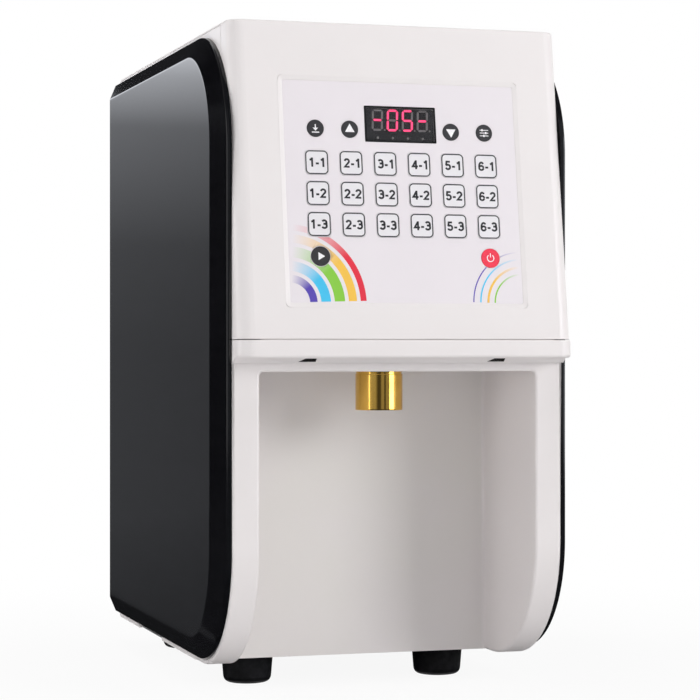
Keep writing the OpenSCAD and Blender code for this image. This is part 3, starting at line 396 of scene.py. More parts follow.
def smoky_lens():
    """Smoked clear lens over the display."""
    finish = Finish("smoky_lens")
    return finish.shade(
        Base_Color=(0.7, 0.7, 0.73, 1),
        Roughness=finish.spread(finish.noise(300, 3), 0.02, 0.05),
        Transmission_Weight=1.0,
        IOR=1.3,
        Normal=finish.relief(finish.noise(900, 1), 0.002, 0.2),
    )


def glowing():
    """Lit display segment."""
    tone = colours().lit
    finish = Finish("glowing_segment")
    grain = finish.spread(finish.noise(1800, 2), 0.86, 1.0)
    return finish.shade(
        Base_Color=(*scaled(tone, 0.5), 1),
        Roughness=0.5,
        Emission_Color=finish.tint(grain, scaled(tone, 0.7), tone),
        Emission_Strength=2.2,
    )


def turned_steel():
    """Brushed steel with streaks along its length."""
    tone = colours().steel
    finish = Finish("turned_steel")
    streaks = finish.noise(1, 4, (900, 40, 900))
    return finish.shade(
        Base_Color=finish.tint(finish.spread(streaks, 0, 1), scaled(tone, 0.85), tone),
        Metallic=1.0,
        Roughness=finish.spread(streaks, 0.29, 0.42),
        Normal=finish.relief(streaks, 0.004, 0.4),
    )


def zinc_sheet():
    """Zinc-plated sheet with its crystal flowers."""
    tone = colours().steel
    finish = Finish("zinc_sheet")
    cells = finish.node("ShaderNodeTexVoronoi", {"Vector": finish.place, "Scale": 140})
    flowers = cells.outputs["Distance"]
    shade = finish.spread(flowers, 0, 1, 0.1, 0.7)
    return finish.shade(
        Base_Color=finish.tint(shade, scaled(tone, 0.8), scaled(tone, 1.1)),
        Metallic=0.9,
        Roughness=finish.spread(flowers, 0.32, 0.5, 0.1, 0.7),
        Normal=finish.relief(finish.noise(800, 3), 0.006, 0.3),
    )


def milky_hopper():
    """Milky food-grade plastic with a dusting of powder."""
    tone = colours().hopper
    finish = Finish("milky_hopper")
    dusting = finish.spread(finish.noise(45, 6), 0, 1, 0.4, 0.7)
    return finish.shade(
        Base_Color=finish.tint(dusting, scaled(tone, 0.97), scaled(tone, 1.03)),
        Roughness=finish.spread(dusting, 0.3, 0.6, 0, 1),
        Subsurface_Weight=0.15,
        Subsurface_Radius=(4 * MM, 4 * MM, 4 * MM),
        Normal=finish.relief(finish.noise(1600, 3), 0.01, 0.4),
    )


def bearing_plastic():
    """Off-white bearing plastic of the bushes and gears."""
    tone = (0.72, 0.69, 0.6)
    return skin(
        "bearing_plastic",
        (scaled(tone, 0.93), tone),
        cloud=(120, 4),
        gloss=(300, 3, 0.32, 0.46),
        grain=(1800, 3, 0.01, 0.4),
    )


def circuit_board():
    """Green lacquered board with paler copper runs under the lacquer."""
    tone = colours().board
    finish = Finish("circuit_board")
    feeds = {"Vector": finish.place, "Scale": 70, "Mortar Size": 0.03}
    runs = finish.node("ShaderNodeTexBrick", feeds).outputs["Fac"]
    return finish.shade(
        Base_Color=finish.tint(runs, tone, scaled(tone, 1.8)),
        Roughness=finish.spread(finish.noise(260, 3), 0.29, 0.38),
        Normal=finish.relief(runs, 0.03, 0.5),
    )


def dark_plastic():
    """Black textured plastic of the inlet and the switch."""
    tone = (0.018, 0.018, 0.02)
    return skin(
        "dark_plastic",
        (tone, scaled(tone, 1.6)),
        cloud=(150, 4),
        gloss=(600, 3, 0.34, 0.5),
        grain=(2600, 4, 0.02, 0.5),
    )


def seal_rubber():
    """Red silicone with a soft bloom."""
    tone = colours().seal
    return skin(
        "seal_rubber",
        (tone, scaled(tone, 1.2)),
        cloud=(200, 4),
        gloss=(400, 3, 0.45, 0.6),
        grain=(1600, 3, 0.02, 0.4),
    )


FINISHES = {
    "white_shell": moulded_white,
    "liner": liner_white,
    "black_panel": gloss_black,
    "brass": polished_brass,
    "rubber": foot_rubber,
    "film": printed_film,
    "key_white": key_film,
    "ink": lambda: inked("dark_ink", colours().ink),
    "pale_ink": lambda: inked("pale_ink", colours().key),
    "key_dark": lambda: inked("dark_key_film", colours().dark_key, 0.36),
    "key_red": lambda: inked("red_key_film", colours().red_key, 0.36),
    "ribbon": ribbon_ink,
    "lens": smoky_lens,
    "lit": glowing,
    "unlit": lambda: inked("unlit_segment", colours().unlit, 0.5),
    "steel": turned_steel,
    "chassis": zinc_sheet,
    "hopper_plastic": milky_hopper,
    "bush_plastic": bearing_plastic,
    "board": circuit_board,
    "dark_plastic": dark_plastic,
    "deep_black": lambda: inked("deep_black", (0.003, 0.003, 0.0035), 0.6),
    "seal": seal_rubber,
}
made_finishes = {}


def finish_of(name):
    """The named finish, made once."""
    if name not in made_finishes:
        made_finishes[name] = FINISHES[name]()
    return made_finishes[name]


# Mesh helpers


def linked(name, data):
    """A new object at the origin, in the scene."""
    obj = bpy.data.objects.new(name, data)
    bpy.context.scene.collection.objects.link(obj)
    return obj


def dress(mesh, finish):
    """Gives a mesh that finish alone."""
    mesh.materials.clear()
    mesh.materials.append(finish_of(finish))


def plain_object(name, mesh, finish):
    """An object at the origin with that mesh and finish."""
    dress(mesh, finish)
    return linked(name, mesh)


def mesh_of(name, shape):
    """A mesh from a bmesh, which is used up."""
    mesh = bpy.data.meshes.new(name)
    shape.to_mesh(mesh)
    shape.free()
    return mesh


def absorb(shape, mesh):
    """Adds a mesh to a bmesh, and removes the mesh."""
    shape.from_mesh(mesh)
    bpy.data.meshes.remove(mesh)


def from_bmesh(name, shape, finish, smooth=30):
    """An object from a bmesh, shaded smooth up to that angle in degrees."""
    mesh = mesh_of(name, shape)
    mesh.shade_smooth()
    mesh.set_sharp_from_angle(angle=math.radians(smooth))
    return plain_object(name, mesh, finish)


def settle(obj):
    """Turns an object's modifiers into plain mesh."""
    graph = bpy.context.evaluated_depsgraph_get()
    mesh = bpy.data.meshes.new_from_object(obj.evaluated_get(graph))
    mesh.name = obj.name
    old = obj.data
    obj.modifiers.clear()
    obj.data = mesh
    bpy.data.meshes.remove(old)
    return obj


def cut_away(obj, cutter, **settings):
    """Cuts one object's shape out of another, and removes the cutter."""
    cut = obj.modifiers.new("cut", "BOOLEAN")
    cut.object = cutter
    for key, value in settings.items():
        setattr(cut, key, value)
    settle(obj)
    bpy.data.objects.remove(cutter)


def seat(obj, body, slot, *nodes):
    """Rides a finished piece on its body and hides the nodes it stands for; the slot is not used.
    """
    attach(obj, body)
    if nodes:
        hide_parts(*nodes)


def merged(node):
    """A node's shape with its triangles joined."""
    shape = bmesh.new()
    shape.from_mesh(NODES[node].data)
    bmesh.ops.remove_doubles(shape, verts=shape.verts, dist=0.001 * MM)
    return shape


def softened(node, width, finish, picked=None, segments=2):
    """A copy of a node with its flats joined, and its sharp or its picked edges rounded."""
    flat, sharp = math.radians(0.4), math.radians(35)
    shape = merged(node)
    bmesh.ops.dissolve_limit(shape, angle_limit=flat, verts=shape.verts, edges=shape.edges)
    if picked:
        weights = shape.edges.layers.float.new("bevel_weight_edge")
        for edge in shape.edges:
            turned = edge.calc_face_angle_signed(0) > sharp
            edge[weights] = min(picked(vert.co) for vert in edge.verts) if turned else 0.0
    obj = from_bmesh(node + "_soft", shape, finish)
    rounding = obj.modifiers.new("rounding", "BEVEL")
    rounding.limit_method = "WEIGHT" if picked else "ANGLE"
    rounding.angle_limit = sharp
    rounding.width = width
    rounding.segments = segments
    rounding.harden_normals = True
    rounding.miter_outer = "MITER_ARC"
    rounding.use_clamp_overlap = not picked
    obj.modifiers.new("shading", "WEIGHTED_NORMAL").keep_sharp = True
    return settle(obj)


def islands(node):
    """The lowest and highest corners of each separate solid in a node."""
    shape = merged(node)
    left = set(shape.verts)
    boxes = []
    while left:
        group = [left.pop()]
        for vert in group:
            for edge in vert.link_edges:
                other = edge.other_vert(vert)
                if other in left:
                    left.remove(other)
                    group.append(other)
        places = [vert.co for vert in group]
        boxes.append(
            [Vector([end(place[i] for place in places) for i in range(3)]) for end in (min, max)]
        )
    shape.free()
    return sorted(boxes, key=lambda box: tuple(round(value, 5) for value in box[0]))


def loft(shape, rings, closed_ends=True):
    """Joins rings of equal length by quads, and closes the two ends if asked."""
    rows = [[shape.verts.new(place) for place in ring] for ring in rings]
    count = len(rows[0])
    for first, second in zip(rows, rows[1:]):
        for i in range(count):
            j = (i + 1) % count
            shape.faces.new((first[i], first[j], second[j], second[i]))
    if closed_ends:
        shape.faces.new(list(reversed(rows[0])))
        shape.faces.new(rows[-1])


def outward(shape, merge=True):
    """Merges doubles, unless told not to, and points every face outwards."""
    if merge:
        bmesh.ops.remove_doubles(shape, verts=shape.verts, dist=0.0005 * MM)
    bmesh.ops.recalc_face_normals(shape, faces=shape.faces)


def bend(first, corner, last, steps):
    """Points of a soft corner from first to last, drawn towards corner."""
    points = []
    for i in range(steps + 1):
        share = i / steps
        points.append(
            [
                a * (1 - share) ** 2 + 2 * b * share * (1 - share) + c * share**2
                for a, b, c in zip(first, corner, last)
            ]
        )
    return points


def rounded_profile(corners, radii, steps=5):
    """A profile of corners with each one rounded by its radius."""
    points = []
    count = len(corners)
    for i, radius in enumerate(radii):
        corner = Vector(corners[i])
        before = (Vector(corners[i - 1]) - corner).normalized()
        after = (Vector(corners[(i + 1) % count]) - corner).normalized()
        if radius:
            points += bend(corner + before * radius, corner, corner + after * radius, steps)
        else:
            points.append(list(corner))
    return points


def lathe(shape, profile, place, turns=96):
    """Turns a closed profile of radius and height about an upright axis."""
    rings = []
    for i in range(turns):
        angle = 2 * math.pi * i / turns
        rings.append(
            [
                (place[0] + r * math.cos(angle), place[1] + r * math.sin(angle), place[2] + z)
                for r, z in profile
            ]
        )
    loft(shape, rings + rings[:1], closed_ends=False)


# Places on the leaning face


PRESS = Vector(next(j["axis"] for j in frame["joints"] if j["name"] == "power_key_press"))
FACE_OUT = -PRESS
FACE_UP = Vector((0, FACE_OUT.z, -FACE_OUT.y))
FACE = Matrix((Vector((1, 0, 0)), FACE_UP, FACE_OUT)).transposed().to_4x4()


def face_spot(node):
    """Middle of a node's outer face, and its width and height, along the leaning face."""
    places = [FACE.inverted() @ vert.co for vert in NODES[node].data.vertices]
    top = max(place.z for place in places)
    rim = [place for place in places if top - place.z < 0.01 * MM]
    low_x, high_x = min(place.x for place in rim), max(place.x for place in rim)
    low_y, high_y = min(place.y for place in rim), max(place.y for place in rim)
    middle = FACE @ Matrix.Translation(((low_x + high_x) / 2, (low_y + high_y) / 2, top))
    return middle, high_x - low_x, high_y - low_y


def plate(shape, outline, lift, depth=0.0):
    """A flat plate with that outline, from -depth to lift along Z."""
    loft(shape, [[(x, y, -depth) for x, y in outline], [(x, y, lift) for x, y in outline]])


def disc_outline(radius, count=48, middle=(0, 0)):
    """Points round a circle."""
    angles = [2 * math.pi * i / count for i in range(count)]
    return [(middle[0] + radius * math.cos(a), middle[1] + radius * math.sin(a)) for a in angles]


def rectangle(wide, high, middle=(0, 0)):
    """Corners of a rectangle about a middle point."""
    return [
        (middle[0] + x * wide / 2, middle[1] + y * high / 2)
        for x, y in ((-1, -1), (1, -1), (1, 1), (-1, 1))
    ]


def bar(shape, middle, wide, high, lift):
    """A printed bar about a middle point."""
    plate(shape, rectangle(wide, high, middle), lift)


def arc_band(shape, inner, outer, start, end, lift, middle=(0, 0), steps=40):
    """A flat band between two radii about a middle, from one angle to another in degrees."""
    x, y = middle
    angles = [math.radians(start + (end - start) * i / steps) for i in range(steps + 1)]
    outline = [(x + outer * math.cos(a), y + outer * math.sin(a)) for a in angles]
    outline += [(x + inner * math.cos(a), y + inner * math.sin(a)) for a in reversed(angles)]
    rows = [[(x, y, z) for x, y in outline] for z in (0.0, lift)]
    verts = [[shape.verts.new(place) for place in row] for row in rows]
    count = len(outline)
    for i in range(count):
        j = (i + 1) % count
        shape.faces.new((verts[0][i], verts[0][j], verts[1][j], verts[1][i]))
    for i in range(steps):
        j = count - 1 - i
        shape.faces.new((verts[1][i], verts[1][i + 1], verts[1][j - 1], verts[1][j]))
        shape.faces.new((verts[0][j], verts[0][j - 1], verts[0][i + 1], verts[0][i]))


def arc(middle, across, up, start, end, steps=14):
    """Points along an ellipse from one angle to another in degrees."""
    angles = [math.radians(start + (end - start) * i / steps) for i in range(steps + 1)]
    return [(middle[0] + across * math.cos(a), middle[1] + up * math.sin(a)) for a in angles]


# Strokes of the numerals, in shares of their height
STROKES = {
    "1": [[(0.39, 0.0), (0.39, 1.0)], [(0.12, 0.745), (0.27, 0.79), (0.39, 0.92)]],
    "2": [arc((0.335, 0.69), 0.235, 0.225, 172, -38) + [(0.1, 0.085), (0.62, 0.085)]],
    "3": [
        arc((0.325, 0.725), 0.225, 0.19, 160, -90) + arc((0.325, 0.31), 0.255, 0.225, 90, -160)
    ],
    "4": [[(0.45, 0.0), (0.45, 0.98)], [(0.45, 0.93), (0.07, 0.305), (0.66, 0.305)]],
    "5": [
        [(0.57, 0.915), (0.18, 0.915), (0.12, 0.49)],
        arc((0.325, 0.335), 0.25, 0.25, 145, -160),
    ],
    "6": [
        arc((0.335, 0.315), 0.245, 0.23, 0, 355, 28),
        arc((0.355, 0.47), 0.265, 0.445, 190, 40),
    ],
    "-": [[(0.02, 0.37), (0.36, 0.37)]],
}
ADVANCE = {"-": 0.46, "digit": 0.77}
STROKE_WIDTH = 0.21


def stroke(shape, points, width, lift):
    """A flat band of even width along a line of points, mitred where it turns."""
    line = [Vector(point) for point in points]
    sides = ([], [])
    for i, point in enumerate(line):
        before = (point - line[i - 1]).normalized() if i else (line[1] - point).normalized()
        after = (line[i + 1] - point).normalized() if i + 1 < len(line) else before
        across = Vector((-(before + after).y, (before + after).x)).normalized()
        reach = width / 2 / max(0.5, across.dot(Vector((-after.y, after.x))))
        for side, sign in zip(sides, (1, -1)):
            side.append(point + across * reach * sign)
    outline = sides[1] + list(reversed(sides[0]))
    plate(shape, [(corner.x, corner.y) for corner in outline], lift)


def written(text, height, lift):
    """Drawn numerals as a mesh centred on the origin, of that height."""
    shape = bmesh.new()
    start = 0.0
    for sign in text:
        for points in STROKES[sign]:
            placed = [((start + x) * height, y * height) for x, y in points]
            stroke(shape, placed, STROKE_WIDTH * height, lift)
        start += ADVANCE.get(sign, ADVANCE["digit"])
    middle = (min(v.co.x for v in shape.verts) + max(v.co.x for v in shape.verts)) / 2
    shape.transform(Matrix.Translation((-middle, -height / 2, 0)))
    return mesh_of("numerals", shape)


# Geometry node trees


class Tree(Nodes):
    """A geometry node tree with named inputs, grown into a plain mesh."""

    def __init__(self, name, **inputs):
        super().__init__(bpy.data.node_groups.new(name, "GeometryNodeTree"))
        sockets = self.tree.interface
        sockets.new_socket("Geometry", in_out="OUTPUT", socket_type="NodeSocketGeometry")
        self.ids = {}
        for label, kind in inputs.items():
            made = sockets.new_socket(label, in_out="INPUT", socket_type="NodeSocket" + kind)
            self.ids[label] = made.identifier
        self.start = self.node("NodeGroupInput")
        self.end = self.node("NodeGroupOutput")

    def given(self, label):
        """A named input of the tree."""
        return self.start.outputs[label]

    def rectangle(self, width, height):
        """A rectangle with its width and height from named inputs."""
        feeds = {"Width": self.given(width), "Height": self.given(height)}
        return self.node("GeometryNodeCurvePrimitiveQuadrilateral", feeds).outputs["Curve"]

    def swept(self, path, profile, caps=False):
        """A profile drawn along a path."""
        feeds = {"Curve": path, "Profile Curve": profile, "Fill Caps": caps}
        return self.node("GeometryNodeCurveToMesh", feeds).outputs["Mesh"]

    def close(self, geometry):
        """Ends the tree with realised instances and the finish."""
        real = self.node("GeometryNodeRealizeInstances", {"Geometry": geometry})
        feeds = {"Geometry": real.outputs["Geometry"], "Material": self.given("Finish")}
        coat = self.node("GeometryNodeSetMaterial", feeds)
        self.put(self.end.inputs["Geometry"], coat.outputs["Geometry"])

    def grow(self, finish, base=None, **values):
        """The tree's result as a mesh, for these input values."""
        mesh = base or bpy.data.meshes.new("seed")
        carrier = linked("seed", mesh)
        modifier = carrier.modifiers.new("tree", "NODES")
        modifier.node_group = self.tree
        modifier[self.ids["Finish"]] = finish_of(finish)
        for label, value in values.items():
            modifier[self.ids[label]] = value
        graph = bpy.context.evaluated_depsgraph_get()
        grown = bpy.data.meshes.new_from_object(carrier.evaluated_get(graph))
        bpy.data.objects.remove(carrier)
        bpy.data.meshes.remove(mesh)
        return grown


def outline_tree():
    """A printed outline: a rounded rectangle drawn with a flat line."""
    names = ("Width", "Height", "Radius", "Line", "Lift")
    tree = Tree("key_outline", **dict.fromkeys(names, "Float"), Finish="Material")
    path = tree.rectangle("Width", "Height")
    feeds = {"Curve": path, "Radius": tree.given("Radius"), "Count": 8}
    corners = tree.node("GeometryNodeFilletCurve", feeds, mode="POLY")
    tree.close(tree.swept(corners.outputs["Curve"], tree.rectangle("Line", "Lift")))
    return tree


def flight_tree():
    """A conveyor screw's blade, swept along a helix."""
    names = ("Turns", "Height", "Middle", "Width", "Blade")
    tree = Tree("auger_flight", **dict.fromkeys(names, "Float"), Finish="Material")
    feeds = {"Resolution": 64, "Rotations": tree.given("Turns"), "Height": tree.given("Height")}
    feeds.update({end: tree.given("Middle") for end in ("Start Radius", "End Radius")})
    helix = tree.node("GeometryNodeCurveSpiral", feeds).outputs["Curve"]
    steady = tree.node("GeometryNodeSetCurveNormal", {"Curve": helix}, mode="Z_UP")
    tree.close(tree.swept(steady.outputs["Curve"], tree.rectangle("Width", "Blade"), caps=True))
    return tree


def screw_tree():
    """Screws set on points, each turned to the direction that its point carries."""
    tree = Tree("set_screws", Points="Geometry", Screw="Object", Finish="Material")
    source = tree.node("GeometryNodeObjectInfo", {"Object": tree.given("Screw")})
    turn = tree.node("GeometryNodeInputNamedAttribute", {"Name": "turn"}, data_type="FLOAT_VECTOR")
    feeds = {"Points": tree.given("Points"), "Instance": source.outputs["Geometry"]}
    feeds["Rotation"] = turn.outputs["Attribute"]
    tree.close(tree.node("GeometryNodeInstanceOnPoints", feeds).outputs["Instances"])
    return tree


# Pieces


class DISPENSER_OT_side_panels(bpy.types.Operator):
    """Make the two bevelled gloss-black side panels"""

    bl_idname = "dispenser.side_panels"
    bl_label = "Side Panels"

    @staticmethod
    def outline(front, low, high, radius, steps=28):
        """Points of a panel's outline in Y and Z, with round front corners."""
        rear = PANEL_HIGH.y
        points = [(rear, low)]
        for middle, start in ((low + radius, 270), (high - radius, 180)):
            for i in range(steps + 1):
                angle = math.radians(start - 90 * i / steps)
                points.append(
                    (front + radius + radius * math.cos(angle), middle + radius * math.sin(angle))
                )
        points.append((rear, high))
        return points

    def rings(self):
        """Rings of the right panel from its base to its flat face."""
        size = sizes()
        soft = size.panel_round
        low, high, front = PANEL_LOW.z, PANEL_HIGH.z, PANEL_LOW.y
        rim, bevel, face_r = size.rim_bevel, size.front_bevel, size.face_radius
        edge = self.outline(front, low, high, size.panel_radius)
        face = self.outline(front + bevel, low + rim, high - rim, face_r)
        inner = self.outline(
            front + bevel + soft, low + rim + soft, high - rim - soft, face_r - soft
        )
        base_x, edge_x, face_x = PANEL_LOW.x, PANEL_LOW.x + size.panel_edge, PANEL_HIGH.x

        def row(first, second, share, x):
            return [
                (x, a[0] + (b[0] - a[0]) * share, a[1] + (b[1] - a[1]) * share)
                for a, b in zip(first, second)
            ]

        def sloped(share):
            return row(edge, face, share, edge_x + (face_x - edge_x) * share)

        def corner(first, middle, last, steps=4):
            bent = [bend(a, b, c, steps) for a, b, c in zip(first, middle, last)]
            return [[points[i] for points in bent] for i in range(steps + 1)]

        near = soft / bevel
        rows = [row(edge, face, 0, base_x), row(edge, face, 0, edge_x - 2 * soft)]
        rows += corner(row(edge, face, 0, edge_x - soft), sloped(0), sloped(near))
        rows += [sloped(2 * near), sloped(1 - 2 * near)]
        rows += corner(sloped(1 - near), sloped(1), row(face, inner, 1, face_x))
        rows.append(row(face, inner, 2, face_x))
        return rows

    def execute(self, context):
        for side, sign in (("right", 1), ("left", -1)):
            shape = bmesh.new()
            loft(shape, [[(sign * x, y, z) for x, y, z in ring] for ring in self.rings()])
            outward(shape)
            piece = from_bmesh(f"side_panel_{side}_skin", shape, "black_panel", smooth=40)
            seat(piece, "housing", "black_panel", f"side_panel_{side}")
        return {"FINISHED"}


class DISPENSER_OT_mouldings(bpy.types.Operator):
    """Make the white mouldings with softened edges"""

    bl_idname = "dispenser.mouldings"
    bl_label = "White Mouldings"

    # Inset from the film's edge and rise above the film, round the recess rim's section, and the
    # corner radius of the film, all in millimetres
    RIM_SECTION = (
        (-2.97, 0.69), (-2.6, 0.6), (-0.45, 0.33), (-0.2, 0.26),
        (0.15, 0.05), (0.25, -0.03), (-2.97, -0.03),
    )
    FILM_CORNER = 1.2

    @staticmethod
    def frame_edges():
        """A test for the corners on the front frame's lip rim and on the skin of its legs."""
        low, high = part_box("front_frame")
        near, seam_share = 0.05 * MM, 0.25
        lip_r, lip_z = 10 * MM, high.z - 12 * MM
        leg_r, leg_y = 84 * MM, low.y + 24.2 * MM
        bay_half, bay_z = 72 * MM, high.z - 16 * MM

        def picked(place):
            if place.z > lip_z:
                share = seam_share if place.z > high.z - near else 1.0
                across, along = abs(place.x) - high.x + lip_r, low.y + lip_r - place.y
                if across > 0 and along > 0:
                    return share * (math.hypot(across, along) > lip_r - near)
                return share * (abs(place.x) > high.x - near or place.y < low.y + near)
            if abs(place.x) < bay_half and place.z > bay_z:
                return False
            across, drop = leg_y + leg_r - place.y, low.z + leg_r - place.z
            if across > 0 and drop > 0:
                return math.hypot(across, drop) > leg_r - near
            return abs(place.y - leg_y) < near or place.z < low.z + near

        return picked

    @staticmethod
    def head_edges():
        """A test for the corners on the head's lower front edge."""
        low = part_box("head_panel")[0]
        near, reach = 0.5 * MM, 12 * MM
        return lambda place: abs(place.z - low.z) < near and place.y < low.y + reach

    @staticmethod
    def wall_edges():
        """A test for the corners on a side wall's outer front edge beside the head."""
        seam, near = 0.3 * MM, 0.1 * MM
        seam_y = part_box("head_panel")[1].y + seam
        side_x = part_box("side_wall_right")[1].x
        return lambda place: abs(place.y - seam_y) < near and abs(place.x) > side_x - near

    def recess_rim(self):
        """The soft inner slope of the keypad's recess, which laps the film's edge."""
        spot, width, height = face_spot("keypad_overlay")
        shape = bmesh.new()
        rings = []
        for inset, rise in self.RIM_SECTION:
            corners = rectangle(width - 2 * inset * MM, height - 2 * inset * MM)
            outline = rounded_profile(corners, [(self.FILM_CORNER - inset) * MM] * 4, 8)
            rings.append([(x, y, rise * MM) for x, y in outline])
        loft(shape, rings + rings[:1], closed_ends=False)
        outward(shape)
        shape.transform(spot)
        return from_bmesh("recess_rim", shape, "white_shell", smooth=50)

    @staticmethod
    def bay_fillets():
        """The small hollow fillets in the cup bay's two rear corners."""
        low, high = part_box("front_frame")
        side, back, top = 95.3 * MM, low.y + 123.6 * MM, high.z - 20.7 * MM
        soft, steps = 1.8 * MM, 6
        profile = [(side, back)]
        for step in range(steps + 1):
            angle = math.pi / 2 * step / steps
            x, y = side - soft + soft * math.sin(angle), back - soft + soft * math.cos(angle)
            profile.append((x, y))
        shape = bmesh.new()
        for sign in (-1, 1):
            loft(shape, [[(sign * x, y, z) for x, y in profile] for z in (low.z, top)])
        outward(shape)
        return from_bmesh("bay_fillets", shape, "white_shell", smooth=40)

    @staticmethod
    def seam_floor():
        """The shallow floor of the seam between the head and the lip, open near its ends."""
        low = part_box("head_panel")[0]
        half = 100 * MM
        front, rear = low.y + 0.45 * MM, low.y + 2.6 * MM
        bottom, top = low.z - 0.05 * MM, low.z + 0.45 * MM
        profile = [(front, bottom), (rear, bottom), (rear, top), (front, top)]
        shape = bmesh.new()
        loft(shape, [[(x, y, z) for y, z in profile] for x in (-half, half)])
        outward(shape)
        return from_bmesh("seam_floor", shape, "white_shell")

    def execute(self, context):
        edge = sizes().edge_round
        for piece in (self.recess_rim(), self.seam_floor(), self.bay_fillets()):
            seat(piece, "housing", "white_shell")
        for node, body, width, picked in (
            ("front_frame", "housing", edge, self.frame_edges()),
            ("head_panel", "housing", edge / 5, self.head_edges()),
            ("side_wall_left", "housing", edge * 0.7, self.wall_edges()),
            ("side_wall_right", "housing", edge * 0.7, self.wall_edges()),
            ("rear_cover", "housing", edge / 4, None),
            ("top_lid", "lid", edge / 4, None),
        ):
            seat(softened(node, width, "white_shell", picked, 3), body, "white_shell", node)
        return {"FINISHED"}


class DISPENSER_OT_slot_shade(bpy.types.Operator):
    """Line the two slots under the lip with dark inserts, painted shade that stands for their dark
    depth
    """

    bl_idname = "dispenser.light_slots"
    bl_label = "Light Slots"

    def execute(self, context):
        low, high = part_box("front_frame")
        lip_z = high.z - 11.6 * MM
        strip_y, strip_rise, strip_run = low.y + 16.0 * MM, 3.4 * MM, 4.6 * MM
        slope = strip_rise / strip_run
        sunk, deep = 0.35 * MM, 2.8 * MM
        front, rear = strip_y + 0.65 * MM, strip_y + 3.95 * MM
        slot_x, half, slanted = 65 * MM, 5.9 * MM, 5.0 * MM
        dark, pale = bmesh.new(), bmesh.new()
        for middle in (-slot_x, slot_x):
            left, right = middle - half, middle + half
            slant = left + slanted
            for shape, corners in (
                (dark, [(left, rear), (right, rear), (right, front), (slant, front)]),
                (pale, [(left, rear), (slant, front), (left, front)]),
            ):
                lower = [(x, y, lip_z - (y - strip_y) * slope + sunk) for x, y in corners]
                loft(shape, [lower, [(x, y, lip_z + deep) for x, y in corners]])
        outward(dark)
        outward(pale)
        seat(from_bmesh("slot_cheeks", pale, "white_shell"), "housing", "white_shell")
        # The dark inserts are painted shade: they stand for the shade deep inside each slot.
        seat(from_bmesh("slot_windows", dark, "deep_black"), "housing", "dark_plastic")
        return {"FINISHED"}


class DISPENSER_OT_nozzle(bpy.types.Operator):
    """Make the turned brass nozzle"""

    bl_idname = "dispenser.nozzle"
    bl_label = "Nozzle"

    def execute(self, context):
        radius = (NOZZLE_HIGH.x - NOZZLE_LOW.x) / 2
        wall, step = 3 * MM, 1 * MM
        bore = radius - wall
        neck = radius - step
        top = NOZZLE_HIGH.z - NOZZLE_LOW.z
        shoulder = 30 * MM
        groove = 24.4 * MM
        groove_height = 1.2 * MM
        groove_depth = 0.5 * MM
        soft = 0.25 * MM
        hold = 0.9 * MM
        corners = [
            (bore, 0),
            (radius, 0),
            (radius, hold),
            (radius, groove - hold),
            (radius, groove),
            (radius - groove_depth, groove),
            (radius - groove_depth, groove + groove_height),
            (radius, groove + groove_height),
            (radius, groove + groove_height + hold),
            (radius, shoulder),
            (neck, shoulder),
            (neck, top),
            (bore, top),
        ]
        radii = [soft, 2.4 * soft, 0, 0, soft, 0, 0, soft, 0, 0, 0, 0, 0]
        middle = (NOZZLE_LOW + NOZZLE_HIGH) / 2
        shape = bmesh.new()
        profile = rounded_profile(corners, radii)
        lathe(shape, profile, (middle.x, middle.y, NOZZLE_LOW.z), turns=128)
        outward(shape)
        piece = from_bmesh("nozzle_turned", shape, "brass")
        seat(piece, "housing", "brass", "nozzle")
        return {"FINISHED"}


class DISPENSER_OT_feet(bpy.types.Operator):
    """Make the four moulded rubber feet"""

    bl_idname = "dispenser.feet"
    bl_label = "Feet"

    def execute(self, context):
        recess_radius = 4.8 * MM
        recess_depth = 15.3 * MM
        hole = 2.1 * MM
        flange = 1.5 * MM
        taper = 1.5 * MM
        soft, heel = 0.5 * MM, 5 * MM
        shape = bmesh.new()
        for low, high in islands("feet"):
            wide = (high.x - low.x) / 2
            top = wide - flange
            foot = top - taper
            height = high.z
            corners = [
                (recess_radius, 0),
                (foot, 0),
                (top, height - flange),
                (wide, height - flange),
                (wide, height),
                (hole, height),
                (hole, recess_depth),
                (recess_radius, recess_depth),
            ]
            radii = [soft, heel, 0, soft, 0, 0, 0, 0]
            middle = (low + high) / 2
            lathe(shape, rounded_profile(corners, radii, 8), (middle.x, middle.y, 0), turns=64)
        outward(shape)
        piece = from_bmesh("feet_moulded", shape, "rubber")
        seat(piece, "housing", "rubber", "feet")
        return {"FINISHED"}


